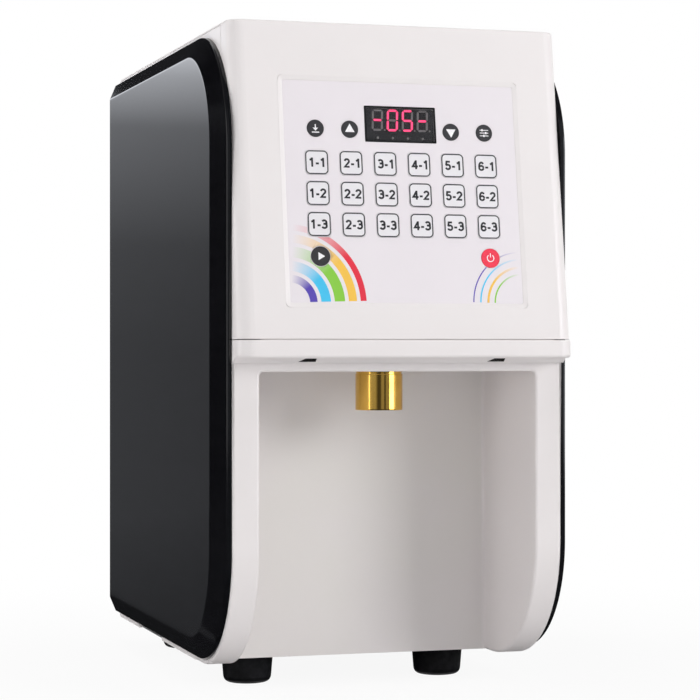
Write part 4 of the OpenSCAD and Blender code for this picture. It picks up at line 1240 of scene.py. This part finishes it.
class DISPENSER_OT_screws(bpy.types.Operator):
    """Set cross-head screws in the rear cover and the feet"""

    bl_idname = "dispenser.screws"
    bl_label = "Screws"

    @staticmethod
    def screw_mesh(radius, head, shank, length_in):
        """A pan-head screw along +Z, its head below the origin, with a cross recess."""
        corners = [(HAIR, -head), (radius, -head), (radius, 0), (shank, 0)]
        corners += [(shank, length_in), (HAIR, length_in)]
        dome, soft = 0.9 * head, 0.2 * MM
        shape = bmesh.new()
        lathe(shape, rounded_profile(corners, [0, dome, soft, 0, 0, 0]), (0, 0, 0), 32)
        outward(shape)
        body = from_bmesh("screw_body", shape, "steel")
        wide, slim, narrowing = 1.1 * radius, 0.26 * radius, 0.7
        cross = bmesh.new()
        for outline in (rectangle(wide, slim), rectangle(slim, wide)):
            mouth = [(x, y, -1.5 * head) for x, y in outline]
            bottom = [(x * narrowing, y * narrowing, -0.4 * head) for x, y in outline]
            loft(cross, [mouth, bottom])
        outward(cross, merge=False)
        cut_away(body, from_bmesh("screw_cross", cross, "steel"), use_self=True)
        return body

    def execute(self, context):
        radius, head, shank, length_in = 3.8 * MM, 2.2 * MM, 2 * MM, 10 * MM
        points = bpy.data.meshes.new("screw_spots")
        places, turns = [], []
        for low, high in islands("housing_screws"):
            middle = (low + high) / 2
            if high.y - low.y > high.z - low.z:
                places.append((middle.x, high.y - head, middle.z))
                turns.append((math.pi / 2, 0, 0))
            else:
                places.append((middle.x, middle.y, low.z + head))
                turns.append((0, 0, 0))
        points.from_pydata(places, [], [])
        points.attributes.new("turn", "FLOAT_VECTOR", "POINT").data.foreach_set(
            "vector", [value for turn in turns for value in turn]
        )
        source = self.screw_mesh(radius, head, shank, length_in)
        mesh = screw_tree().grow("steel", base=points, Screw=source)
        bpy.data.objects.remove(source)
        mesh.name = "cross_screws"
        piece = plain_object("cross_screws", mesh, "steel")
        seat(piece, "housing", "steel", "housing_screws")
        return {"FINISHED"}


class DISPENSER_OT_auger(bpy.types.Operator):
    """Make the conveyor screw with its smooth helical blade"""

    bl_idname = "dispenser.auger"
    bl_label = "Auger"

    def execute(self, context):
        pitch = 24 * MM
        blade = 2.4 * MM
        shaft = 4.5 * MM
        low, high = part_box("auger")
        axis = Vector(((low.x + high.x) / 2, 0, (low.z + high.z) / 2))
        flight = [
            vert.co
            for vert in NODES["auger"].data.vertices
            if math.hypot(vert.co.x - axis.x, vert.co.z - axis.z) > 2 * shaft
        ]
        outer = max(math.hypot(place.x - axis.x, place.z - axis.z) for place in flight)
        start = min(place.y for place in flight) + blade / 2
        end = max(place.y for place in flight) - blade / 2
        rooted, soft = 1 * MM, 0.5 * MM
        inner = shaft - rooted
        mesh = flight_tree().grow(
            "steel",
            Turns=(end - start) / pitch,
            Height=end - start,
            Middle=(inner + outer) / 2,
            Width=outer - inner,
            Blade=blade,
        )
        along = Matrix.Rotation(-math.pi / 2, 4, "X")
        mesh.transform(Matrix.Translation((axis.x, start, axis.z)) @ along)
        shape = bmesh.new()
        absorb(shape, mesh)
        core = bmesh.new()
        span = high.y - low.y
        corners = [(HAIR, 0), (shaft, 0), (shaft, span), (HAIR, span)]
        lathe(core, rounded_profile(corners, [0, soft, soft, 0]), (0, 0, 0), 48)
        outward(core)
        core.transform(Matrix.Translation((axis.x, low.y, axis.z)) @ along)
        absorb(shape, mesh_of("auger_shaft", core))
        outward(shape, merge=False)
        piece = from_bmesh("auger_screw", shape, "steel")
        seat(piece, "auger", "steel", "auger")
        return {"FINISHED"}


class DISPENSER_OT_dose_keys(bpy.types.Operator):
    """Print the outline and numerals on each dose key"""

    bl_idname = "dispenser.dose_keys"
    bl_label = "Dose Keys"

    def execute(self, context):
        size = sizes()
        tree = outline_tree()
        inset = 2 * size.outline_inset + size.outline_width
        for node in DOSE_KEYS:
            spot, width, height = face_spot(node)
            outline = tree.grow(
                "ink",
                Width=width - inset,
                Height=height - inset,
                Radius=size.outline_radius,
                Line=size.outline_width,
                Lift=size.print_lift,
            )
            label = node[len("key_"):].replace("_", "-")
            numerals = written(label, size.numeral_height, size.print_lift)
            shape = bmesh.new()
            outline.transform(Matrix.Translation((0, 0, size.print_lift / 2)))
            for mesh in (outline, numerals):
                absorb(shape, mesh)
            shape.transform(spot)
            outward(shape, merge=False)
            piece = from_bmesh(node + "_print", shape, "ink")
            seat(piece, node + "_cap", "key_dark")
            pad = softened(node, size.small_round, "key_white")
            seat(pad, node + "_cap", "key_white", node)
        return {"FINISHED"}


class DISPENSER_OT_round_keys(bpy.types.Operator):
    """Finish the six round keys and print their signs"""

    bl_idname = "dispenser.round_keys"
    bl_label = "Round Keys"

    # Reach of a key's triangle in millimetres, and its turn in degrees
    ARROWS = {"up_key": (3.8, 0), "down_key": (3.8, 180), "continue_key": (3.0, -90)}

    @staticmethod
    def triangle(shape, reach, lift, turn):
        """A printed triangle that points up, turned by that angle in degrees."""
        soft = 0.3 * MM
        angles = [math.radians(90 + turn + 120 * i) for i in range(3)]
        corners = [(reach * math.cos(angle), reach * math.sin(angle)) for angle in angles]
        plate(shape, rounded_profile(corners, [soft] * 3, 4), lift)

    def sign(self, shape, node, lift):
        """Draws a key's sign about the origin."""
        line, fine, thin = 0.75 * MM, 0.6 * MM, 0.525 * MM
        if node in self.ARROWS:
            reach, turn = self.ARROWS[node]
            self.triangle(shape, reach * MM, lift, turn)
        elif node == "power_key":
            ring, gap_end, gap_start = 2.0 * MM, 125, 415
            arc_band(shape, ring, ring + fine, gap_end, gap_start, lift)
            bar(shape, (0, 1.9 * MM), fine, 2.8 * MM, lift)
        elif node == "save_key":
            bar(shape, (0, -2.6 * MM), 5.0 * MM, line, lift)
            bar(shape, (0, 1.4 * MM), line, 2.6 * MM, lift)
            plate(shape, [(-1.9 * MM, 0.4 * MM), (0, -1.7 * MM), (1.9 * MM, 0.4 * MM)], lift)
        else:
            for row, knob in ((1.9, -1.3), (0.0, 1.2), (-1.9, -0.2)):
                bar(shape, (0, row * MM), 6.0 * MM, thin, lift)
                bar(shape, (knob * MM, row * MM), 1.0 * MM, 1.5 * MM, lift * 1.2)

    def execute(self, context):
        size = sizes()
        for node in ROUND_KEYS:
            finish = "key_red" if node == "power_key" else "key_dark"
            shape = bmesh.new()
            self.sign(shape, node, size.print_lift)
            shape.transform(face_spot(node)[0])
            outward(shape, merge=False)
            piece = from_bmesh(node + "_sign", shape, "pale_ink")
            seat(piece, node + "_cap", "key_white")
            cap = softened(node, size.small_round, finish)
            seat(cap, node + "_cap", finish, node)
        return {"FINISHED"}


class DISPENSER_OT_film_print(bpy.types.Operator):
    """Print quarter-round ribbons in the film's lower corners"""

    bl_idname = "dispenser.film_print"
    bl_label = "Film Print"

    # Inner and outer radius in millimetres, and colour
    BROAD = (
        (13.0, 18.0, (0.10, 0.065, 0.45)),
        (20.5, 27.0, (0.06, 0.55, 0.87)),
        (29.5, 36.5, (0.26, 0.61, 0.06)),
        (39.0, 44.5, (0.93, 0.56, 0.08)),
        (47.0, 51.0, (0.80, 0.03, 0.06)),
    )
    FINE = (
        (19.0, 20.0, (0.26, 0.61, 0.06)),
        (23.5, 25.0, (0.93, 0.56, 0.08)),
        (29.0, 30.0, (0.06, 0.55, 0.87)),
        (34.0, 34.8, (0.10, 0.065, 0.45)),
    )

    # Angles in degrees: where a ribbon starts to fade and how far the fade runs, and what each end
    # is trimmed by
    FADE_START, FADE_SPAN = 38, 48
    TRIM = 1.5

    @staticmethod
    def key_windows(spot):
        """Cutters of the keys' windows in the film, about the film's middle."""
        margin, corner_r, deep = 0.45 * MM, 2.8 * MM, 1 * MM
        shape = bmesh.new()
        for node in DOSE_KEYS + ROUND_KEYS:
            place, width, height = face_spot(node)
            middle = (spot.inverted() @ place.translation).xy
            if node in ROUND_KEYS:
                outline = disc_outline(width / 2 + margin, middle=middle)
            else:
                corners = rectangle(width + 2 * margin, height + 2 * margin, middle)
                outline = rounded_profile(corners, [corner_r] * 4, 6)
            plate(shape, outline, deep, deep)
        outward(shape)
        return from_bmesh("key_windows", shape, "film")

    def tone_at(self, bands, reach, angle, film):
        """A ribbon's colour at a distance from its corner, fading into the film as it rises."""
        nearest = min(bands, key=lambda band: abs((band[0] + band[1]) / 2 * MM - reach))
        share = min(1.0, max(0.0, (angle - self.FADE_START) / self.FADE_SPAN))
        return [a + (b - a) * share for a, b in zip(nearest[2], film)]

    def execute(self, context):
        lift = sizes().print_lift
        film = colours().film
        spot, width, height = face_spot("keypad_overlay")
        lap = 0.3 * MM
        left, right = rectangle(width - 2 * lap, height - 2 * lap)[:2]
        shape = bmesh.new()
        for bands, corner, turn in ((self.BROAD, left, 0), (self.FINE, right, 90)):
            start, end = turn + self.TRIM, turn + 90 - self.TRIM
            for inner, outer, _ in bands:
                arc_band(shape, inner * MM, outer * MM, start, end, lift, corner)
        outward(shape)
        ribbons = from_bmesh("film_ribbons", shape, "ribbon")
        cut_away(ribbons, self.key_windows(spot), solver="EXACT")
        mesh = ribbons.data
        dress(mesh, "ribbon")
        layer = mesh.color_attributes.new("ribbon", "FLOAT_COLOR", "POINT")
        for vert, carried in zip(mesh.vertices, layer.data):
            bands, corner = (self.BROAD, left) if vert.co.x < 0 else (self.FINE, right)
            x, y = abs(vert.co.x - corner[0]), vert.co.y - corner[1]
            tone = self.tone_at(bands, math.hypot(x, y), math.degrees(math.atan2(y, x)), film)
            carried.color = (*tone, 1)
        mesh.transform(spot)
        seat(ribbons, "housing", "film")
        return {"FINISHED"}


class DISPENSER_OT_display(bpy.types.Operator):
    """Make the four-digit display behind its smoked lens"""

    bl_idname = "dispenser.display"
    bl_label = "Display"

    SHOWN = "-05-"
    SEGMENTS = {"-": "g", "0": "abcdef", "5": "acdfg"}

    @staticmethod
    def segment(shape, first, second, half, lift, slant):
        """One pointed bar of a digit between two points."""
        a, b = Vector(first), Vector(second)
        along = (b - a).normalized()
        across = Vector((-along.y, along.x))
        gap = 0.25 * MM * along
        outline = [a + gap, a + gap + (along + across) * half, b - gap - (along - across) * half]
        outline += [b - gap, b - gap - (along + across) * half, a + gap + (along - across) * half]
        plate(shape, [(point.x + point.y * slant, point.y) for point in reversed(outline)], lift)

    @staticmethod
    def border(lift):
        """The black print round the edge of the lens."""
        outer, inner = 0.1 * MM, 1.4 * MM
        window, wide, high = face_spot("display_window")
        rings = []
        for inset, rise in ((outer, 0.0), (outer, lift), (inner, lift), (inner, 0.0)):
            rings.append([(x, y, rise) for x, y in rectangle(wide - 2 * inset, high - 2 * inset)])
        shape = bmesh.new()
        loft(shape, rings + rings[:1], closed_ends=False)
        outward(shape)
        shape.transform(window)
        return from_bmesh("display_border", shape, "deep_black")

    def execute(self, context):
        lift = sizes().print_lift
        digit_w, digit_h, pitch = 6.3 * MM, 13.2 * MM, 10.35 * MM
        rise, half, slant = 2.9 * MM, 0.7 * MM, 0.06
        dot_gap, dot_r = 1.75 * MM, 0.6 * MM
        mark_y, mark_r = -9.0 * MM, 0.8 * MM
        lit, unlit = bmesh.new(), bmesh.new()
        for i, sign in enumerate(self.SHOWN):
            x = (i - (len(self.SHOWN) - 1) / 2) * pitch
            left, right = x - digit_w / 2, x + digit_w / 2
            low, mid, top = rise - digit_h / 2, rise, rise + digit_h / 2
            bars = {
                "a": ((left, top), (right, top)),
                "b": ((right, top), (right, mid)),
                "c": ((right, mid), (right, low)),
                "d": ((left, low), (right, low)),
                "e": ((left, mid), (left, low)),
                "f": ((left, top), (left, mid)),
                "g": ((left, mid), (right, mid)),
            }
            for name, (first, second) in bars.items():
                target = lit if name in self.SEGMENTS[sign] else unlit
                self.segment(target, first, second, half, lift, slant)
            plate(unlit, disc_outline(dot_r, 20, (right + dot_gap, low)), lift)
            plate(unlit, disc_outline(mark_r, 24, (x, mark_y)), lift)
        seat(self.border(lift), "housing", "lens")
        for finish, shape in (("lit", lit), ("unlit", unlit)):
            shape.transform(face_spot("led_display")[0])
            outward(shape, merge=False)
            seat(from_bmesh(f"display_{finish}_segments", shape, finish), "housing", "lens")
        return {"FINISHED"}


class DISPENSER_OT_rocker_marks(bpy.types.Operator):
    """Print the on and off signs on the mains rocker"""

    bl_idname = "dispenser.rocker_marks"
    bl_label = "Rocker Marks"

    def execute(self, context):
        lift = sizes().print_lift
        lean, reach = math.radians(8), 4.6 * MM
        joint = next(j for j in frame["joints"] if j["name"] == "rocker_tip")
        rest = Matrix.Translation(joint["pos_m"]) @ Matrix.Rotation(lean, 4, "X")
        dish, bottom, clear = 22 * MM, 25.4 * MM, 0.09 * MM
        shape = bmesh.new()
        for height in (reach, -reach):
            sign = bmesh.new()
            if height > 0:
                bar(sign, (0, 0), 0.7 * MM, 3.2 * MM, lift)
            else:
                arc_band(sign, 1.1 * MM, 1.7 * MM, 0, 359, lift)
            tip = math.asin(height / dish)
            out = Matrix.Translation((0, bottom - dish * math.cos(tip), height))
            tilt = Matrix.Rotation(-tip - math.pi / 2, 4, "X")
            sign.transform(rest @ out @ tilt @ Matrix.Translation((0, 0, clear)))
            absorb(shape, mesh_of("sign", sign))
        outward(shape)
        seat(from_bmesh("rocker_signs", shape, "pale_ink"), "rocker", "key_white")
        return {"FINISHED"}


class DISPENSER_OT_plain_nodes(bpy.types.Operator):
    """Give every remaining node its finish"""

    bl_idname = "dispenser.plain_nodes"
    bl_label = "Remaining Nodes"

    WORN_BY = {
        "liner": ["bay_liner"],
        "white_shell": ["outlet_collar"],
        "chassis": ["base_plate", "deck_plate", "power_supply", "motor_bracket"],
        "steel": ["hinge_rail", "hinge_pins", "agitator", "drive_pinion", "gear_motor"],
        "film": ["keypad_overlay"],
        "lens": ["display_window"],
        "deep_black": ["led_display"],
        "dark_plastic": ["power_inlet", "switch_body", "switch_rocker"],
        "board": ["keypad_board", "control_board"],
        "hopper_plastic": ["hopper"],
        "bush_plastic": ["shaft_bushes", "auger_gear", "agitator_gear"],
        "seal": ["outlet_seal"],
    }

    def execute(self, context):
        for finish, nodes in self.WORN_BY.items():
            for node in nodes:
                dress(NODES[node].data, finish)
        bare = [name for name, obj in NODES.items() if not obj.hide_render]
        dressed = {node for nodes in self.WORN_BY.values() for node in nodes}
        if set(bare) - dressed:
            raise RuntimeError(f"no finish for {sorted(set(bare) - dressed)}")
        return {"FINISHED"}


def upright(first, second, top):
    """Corners of an upright card that stands on the floor between two points."""
    return [(*first, 0), (*second, 0), (*second, top), (*first, top)]


def level(height, *corners):
    """Corners of a level card at that height."""
    return [(x, y, height) for x, y in corners]


def even(grey):
    """The levels of a card with one grey."""
    return ((0, grey), (1, grey))


class DISPENSER_OT_stage(bpy.types.Operator):
    """Set up the camera, the floor, the sky and the lamps"""

    bl_idname = "dispenser.stage"
    bl_label = "Stage"

    # Name, corners, axis of the grey levels, levels at places along it, and where it fades out in X
    CARDS = (
        (
            "side_card",
            upright((-3, 1.5), (0.1, 1.5), 2),
            "Z",
            (
                (0, 0.095), (0.234, 0.108), (0.375, 0.145), (0.54, 0.36),
                (0.61, 1.0), (0.68, 2.3), (0.72, 0.02),
            ),
            (-0.95, -0.7),
        ),
        (
            "floor_card",
            level(0.002, (-3, -3), (3, -3), (3, 1.5), (-3, 1.5)),
            "Y",
            ((-3, 0.06), (0.3, 0.06), (1.5, 0.095)),
        ),
        (
            "bevel_card",
            level(0.003, (-0.25, -0.3), (-0.11, -0.3), (-0.6, 1.5), (-1.6, 1.5)),
            "X",
            even(0.012),
        ),
        (
            "rim_card",
            level(0.004, (-0.182, -0.3), (0.1, -0.3), (0.1, 1.5), (-0.182, 1.5)),
            "X",
            even(0.012),
        ),
        (
            "front_card",
            upright((-6, -3), (6, -3), 4),
            "X",
            (
                (-6, 0.5), (-2.0, 0.4), (-1.2, 0.06), (-0.5, 0.06), (-0.2, 0.3),
                (0.35, 0.3), (0.48, 0.05), (0.75, 0.05), (0.9, 0.3), (6, 0.5),
            ),
        ),
        ("strip_card", upright((-1.95, -0.9), (-1.85, -1.12), 0.9), "Z", even(2.0)),
        ("key_card", upright((1.4, -2.06), (2.1, -1.34), 1.2), "Z", even(4.5)),
        ("roof_card", level(3, (-6, -3), (6, -3), (6, 1.4), (-6, 1.4)), "X", even(0.06)),
    )
    CARD_TINT = (1.0, 1.03, 1.1)
    CARD_DIM = 0.02

    # Name, place and side length
    LAMPS = (
        ("key", (1.84, -2.4, 1.05), 1.1),
        ("fill", (-0.9, -2.3, 0.3), 0.8),
        ("top", (-0.1, -0.5, 1.9), 1.2),
        ("side", (-2.0, -1.05, 0.4), 0.6),
        ("rim", (-1.7, 1.1, 0.9), 0.9),
    )
    AIM = Vector((0, 0, 0.22))

    @staticmethod
    def seen(nodes):
        """A factor of 1 for rays that the picture sees: straight, mirrored or through glass."""
        path = nodes.node("ShaderNodeLightPath")
        total = path.outputs["Is Camera Ray"]
        for name in ("Is Glossy Ray", "Is Transmission Ray"):
            feeds = {0: total, 1: path.outputs[name]}
            total = nodes.node("ShaderNodeMath", feeds, operation="MAXIMUM").outputs[0]
        return total

    @staticmethod
    def bare(obj):
        """Gives an object a material without a shader, and returns its nodes."""
        material = bpy.data.materials.new(obj.name)
        material.use_nodes = True
        nodes = Nodes(material.node_tree)
        nodes.tree.nodes.remove(nodes.tree.nodes["Principled BSDF"])
        obj.data.materials.append(material)
        return nodes

    def sky(self, strength):
        """White where the picture sees it, and an even pale light elsewhere."""
        world = bpy.data.worlds.new("studio_sky")
        bpy.context.scene.world = world
        world.use_nodes = True
        nodes = Nodes(world.node_tree)
        light = nodes.tree.nodes["Background"]
        nodes.put(light.inputs["Color"], (1, 1, 1, 1))
        nodes.put(light.inputs["Strength"], nodes.spread(self.seen(nodes), strength, 1.0, 0, 1))

    def floor(self, tone):
        """A wide pale floor that keeps the shadow and fades to white."""
        radius, near, far = 14.0, 0.2, 0.7
        near_glow, far_glow = 0.92, 1.0
        shape = bmesh.new()
        bmesh.ops.create_circle(shape, cap_ends=True, segments=96, radius=radius)
        obj = linked("studio_floor", mesh_of("studio_floor", shape))
        nodes = self.bare(obj)
        paint = nodes.node("ShaderNodeBsdfDiffuse", {"Color": (*tone, 1)})
        glow = nodes.node("ShaderNodeEmission")
        reach = nodes.node("ShaderNodeVectorMath", {0: nodes.object_place()}, operation="LENGTH")
        fade = nodes.spread(
            reach.outputs["Value"], near_glow, far_glow, near, far, interpolation_type="SMOOTHSTEP"
        )
        share = nodes.node("ShaderNodeMath", {0: fade, 1: self.seen(nodes)}, operation="MULTIPLY")
        feeds = {"Fac": share.outputs[0], 1: paint.outputs["BSDF"], 2: glow.outputs["Emission"]}
        mixed = nodes.node("ShaderNodeMixShader", feeds)
        nodes.put(nodes.tree.nodes["Material Output"].inputs["Surface"], mixed.outputs["Shader"])

    def card(self, name, corners, axis, levels, fade=None):
        """A studio card that only mirrors see, with grey levels at places along an axis."""
        mesh = bpy.data.meshes.new(name)
        mesh.from_pydata(corners, [], [(0, 1, 2, 3)])
        obj = linked(name, mesh)
        nodes = self.bare(obj)
        split = nodes.node("ShaderNodeSeparateXYZ", {0: nodes.object_place()})
        first, last = levels[0][0], levels[-1][0]
        along = nodes.spread(split.outputs[axis], 0, 1, first, last)
        ramp = nodes.node("ShaderNodeValToRGB", {"Fac": along})
        stops = ramp.color_ramp.elements
        while len(stops) < len(levels):
            stops.new(0.5)
        for stop, (spot, grey) in zip(stops, levels):
            stop.position = (spot - first) / (last - first)
            stop.color = (*(grey * share for share in self.CARD_TINT), 1)
        glow = nodes.node("ShaderNodeEmission", {"Color": ramp.outputs["Color"]})
        if fade:
            strength = nodes.spread(
                split.outputs["X"], self.CARD_DIM, 1.0, *fade, interpolation_type="SMOOTHSTEP"
            )
            nodes.put(glow.inputs["Strength"], strength)
        nodes.put(nodes.tree.nodes["Material Output"].inputs["Surface"], glow.outputs["Emission"])
        for ray in ("camera", "diffuse", "transmission", "volume_scatter", "shadow"):
            setattr(obj, "visible_" + ray, False)

    def lamp(self, name, place, side, power):
        """A square soft lamp aimed at the object, which mirrors do not see."""
        light = bpy.data.lights.new(name, "AREA")
        light.shape = "SQUARE"
        light.size = side
        light.energy = power
        obj = linked(name, light)
        obj.location = place
        obj.visible_glossy = False
        obj.rotation_mode = "QUATERNION"
        obj.rotation_quaternion = (self.AIM - Vector(place)).to_track_quat("-Z", "Y")

    def execute(self, context):
        stage = context.scene.dispenser_stage
        data = bpy.data.cameras.new("camera")
        data.sensor_width = SENSOR_WIDTH
        data.lens = stage.lens_length
        data.shift_y = stage.frame_shift
        camera = linked("camera", data)
        camera.location = stage.camera_place
        camera.rotation_euler = (math.pi / 2, 0, -stage.camera_turn)
        context.scene.camera = camera
        context.scene.view_settings.view_transform = "Standard"
        self.sky(stage.sky)
        self.floor(stage.floor)
        for card in self.CARDS:
            self.card(*card)
        for name, place, side in self.LAMPS:
            self.lamp(name + "_lamp", place, side, getattr(stage, name + "_power"))
        return {"FINISHED"}


class DISPENSER_PT_panel(bpy.types.Panel):
    """Lists the dispenser's pieces and settings"""

    bl_idname = "DISPENSER_PT_panel"
    bl_label = "Powder Dispenser"
    bl_space_type = "VIEW_3D"
    bl_region_type = "UI"
    bl_category = "Dispenser"

    def draw(self, context):
        for operator in OPERATORS:
            self.layout.operator(operator.bl_idname)
        for group in (
            context.scene.dispenser_sizes,
            context.scene.dispenser_colours,
            context.scene.dispenser_stage,
        ):
            box = self.layout.box()
            for name in group.__annotations__:
                box.prop(group, name)


OPERATORS = (
    DISPENSER_OT_stage,
    DISPENSER_OT_side_panels,
    DISPENSER_OT_mouldings,
    DISPENSER_OT_slot_shade,
    DISPENSER_OT_nozzle,
    DISPENSER_OT_feet,
    DISPENSER_OT_screws,
    DISPENSER_OT_auger,
    DISPENSER_OT_dose_keys,
    DISPENSER_OT_round_keys,
    DISPENSER_OT_film_print,
    DISPENSER_OT_display,
    DISPENSER_OT_rocker_marks,
    DISPENSER_OT_plain_nodes,
)
CLASSES = (DispenserSizes, DispenserColours, StageSettings, *OPERATORS, DISPENSER_PT_panel)


def register():
    """Registers the classes and hangs the settings on the scene."""
    for cls in CLASSES:
        bpy.utils.register_class(cls)
    bpy.types.Scene.dispenser_sizes = bpy.props.PointerProperty(type=DispenserSizes)
    bpy.types.Scene.dispenser_colours = bpy.props.PointerProperty(type=DispenserColours)
    bpy.types.Scene.dispenser_stage = bpy.props.PointerProperty(type=StageSettings)


def unregister():
    """Takes the settings and the classes away again."""
    del bpy.types.Scene.dispenser_stage
    del bpy.types.Scene.dispenser_colours
    del bpy.types.Scene.dispenser_sizes
    for cls in reversed(CLASSES):
        bpy.utils.unregister_class(cls)


def main():
    """Dresses the dispenser."""
    register()
    for operator in OPERATORS:
        group, name = operator.bl_idname.split(".")
        getattr(getattr(bpy.ops, group), name)()


if __name__ == "__main__":
    main()
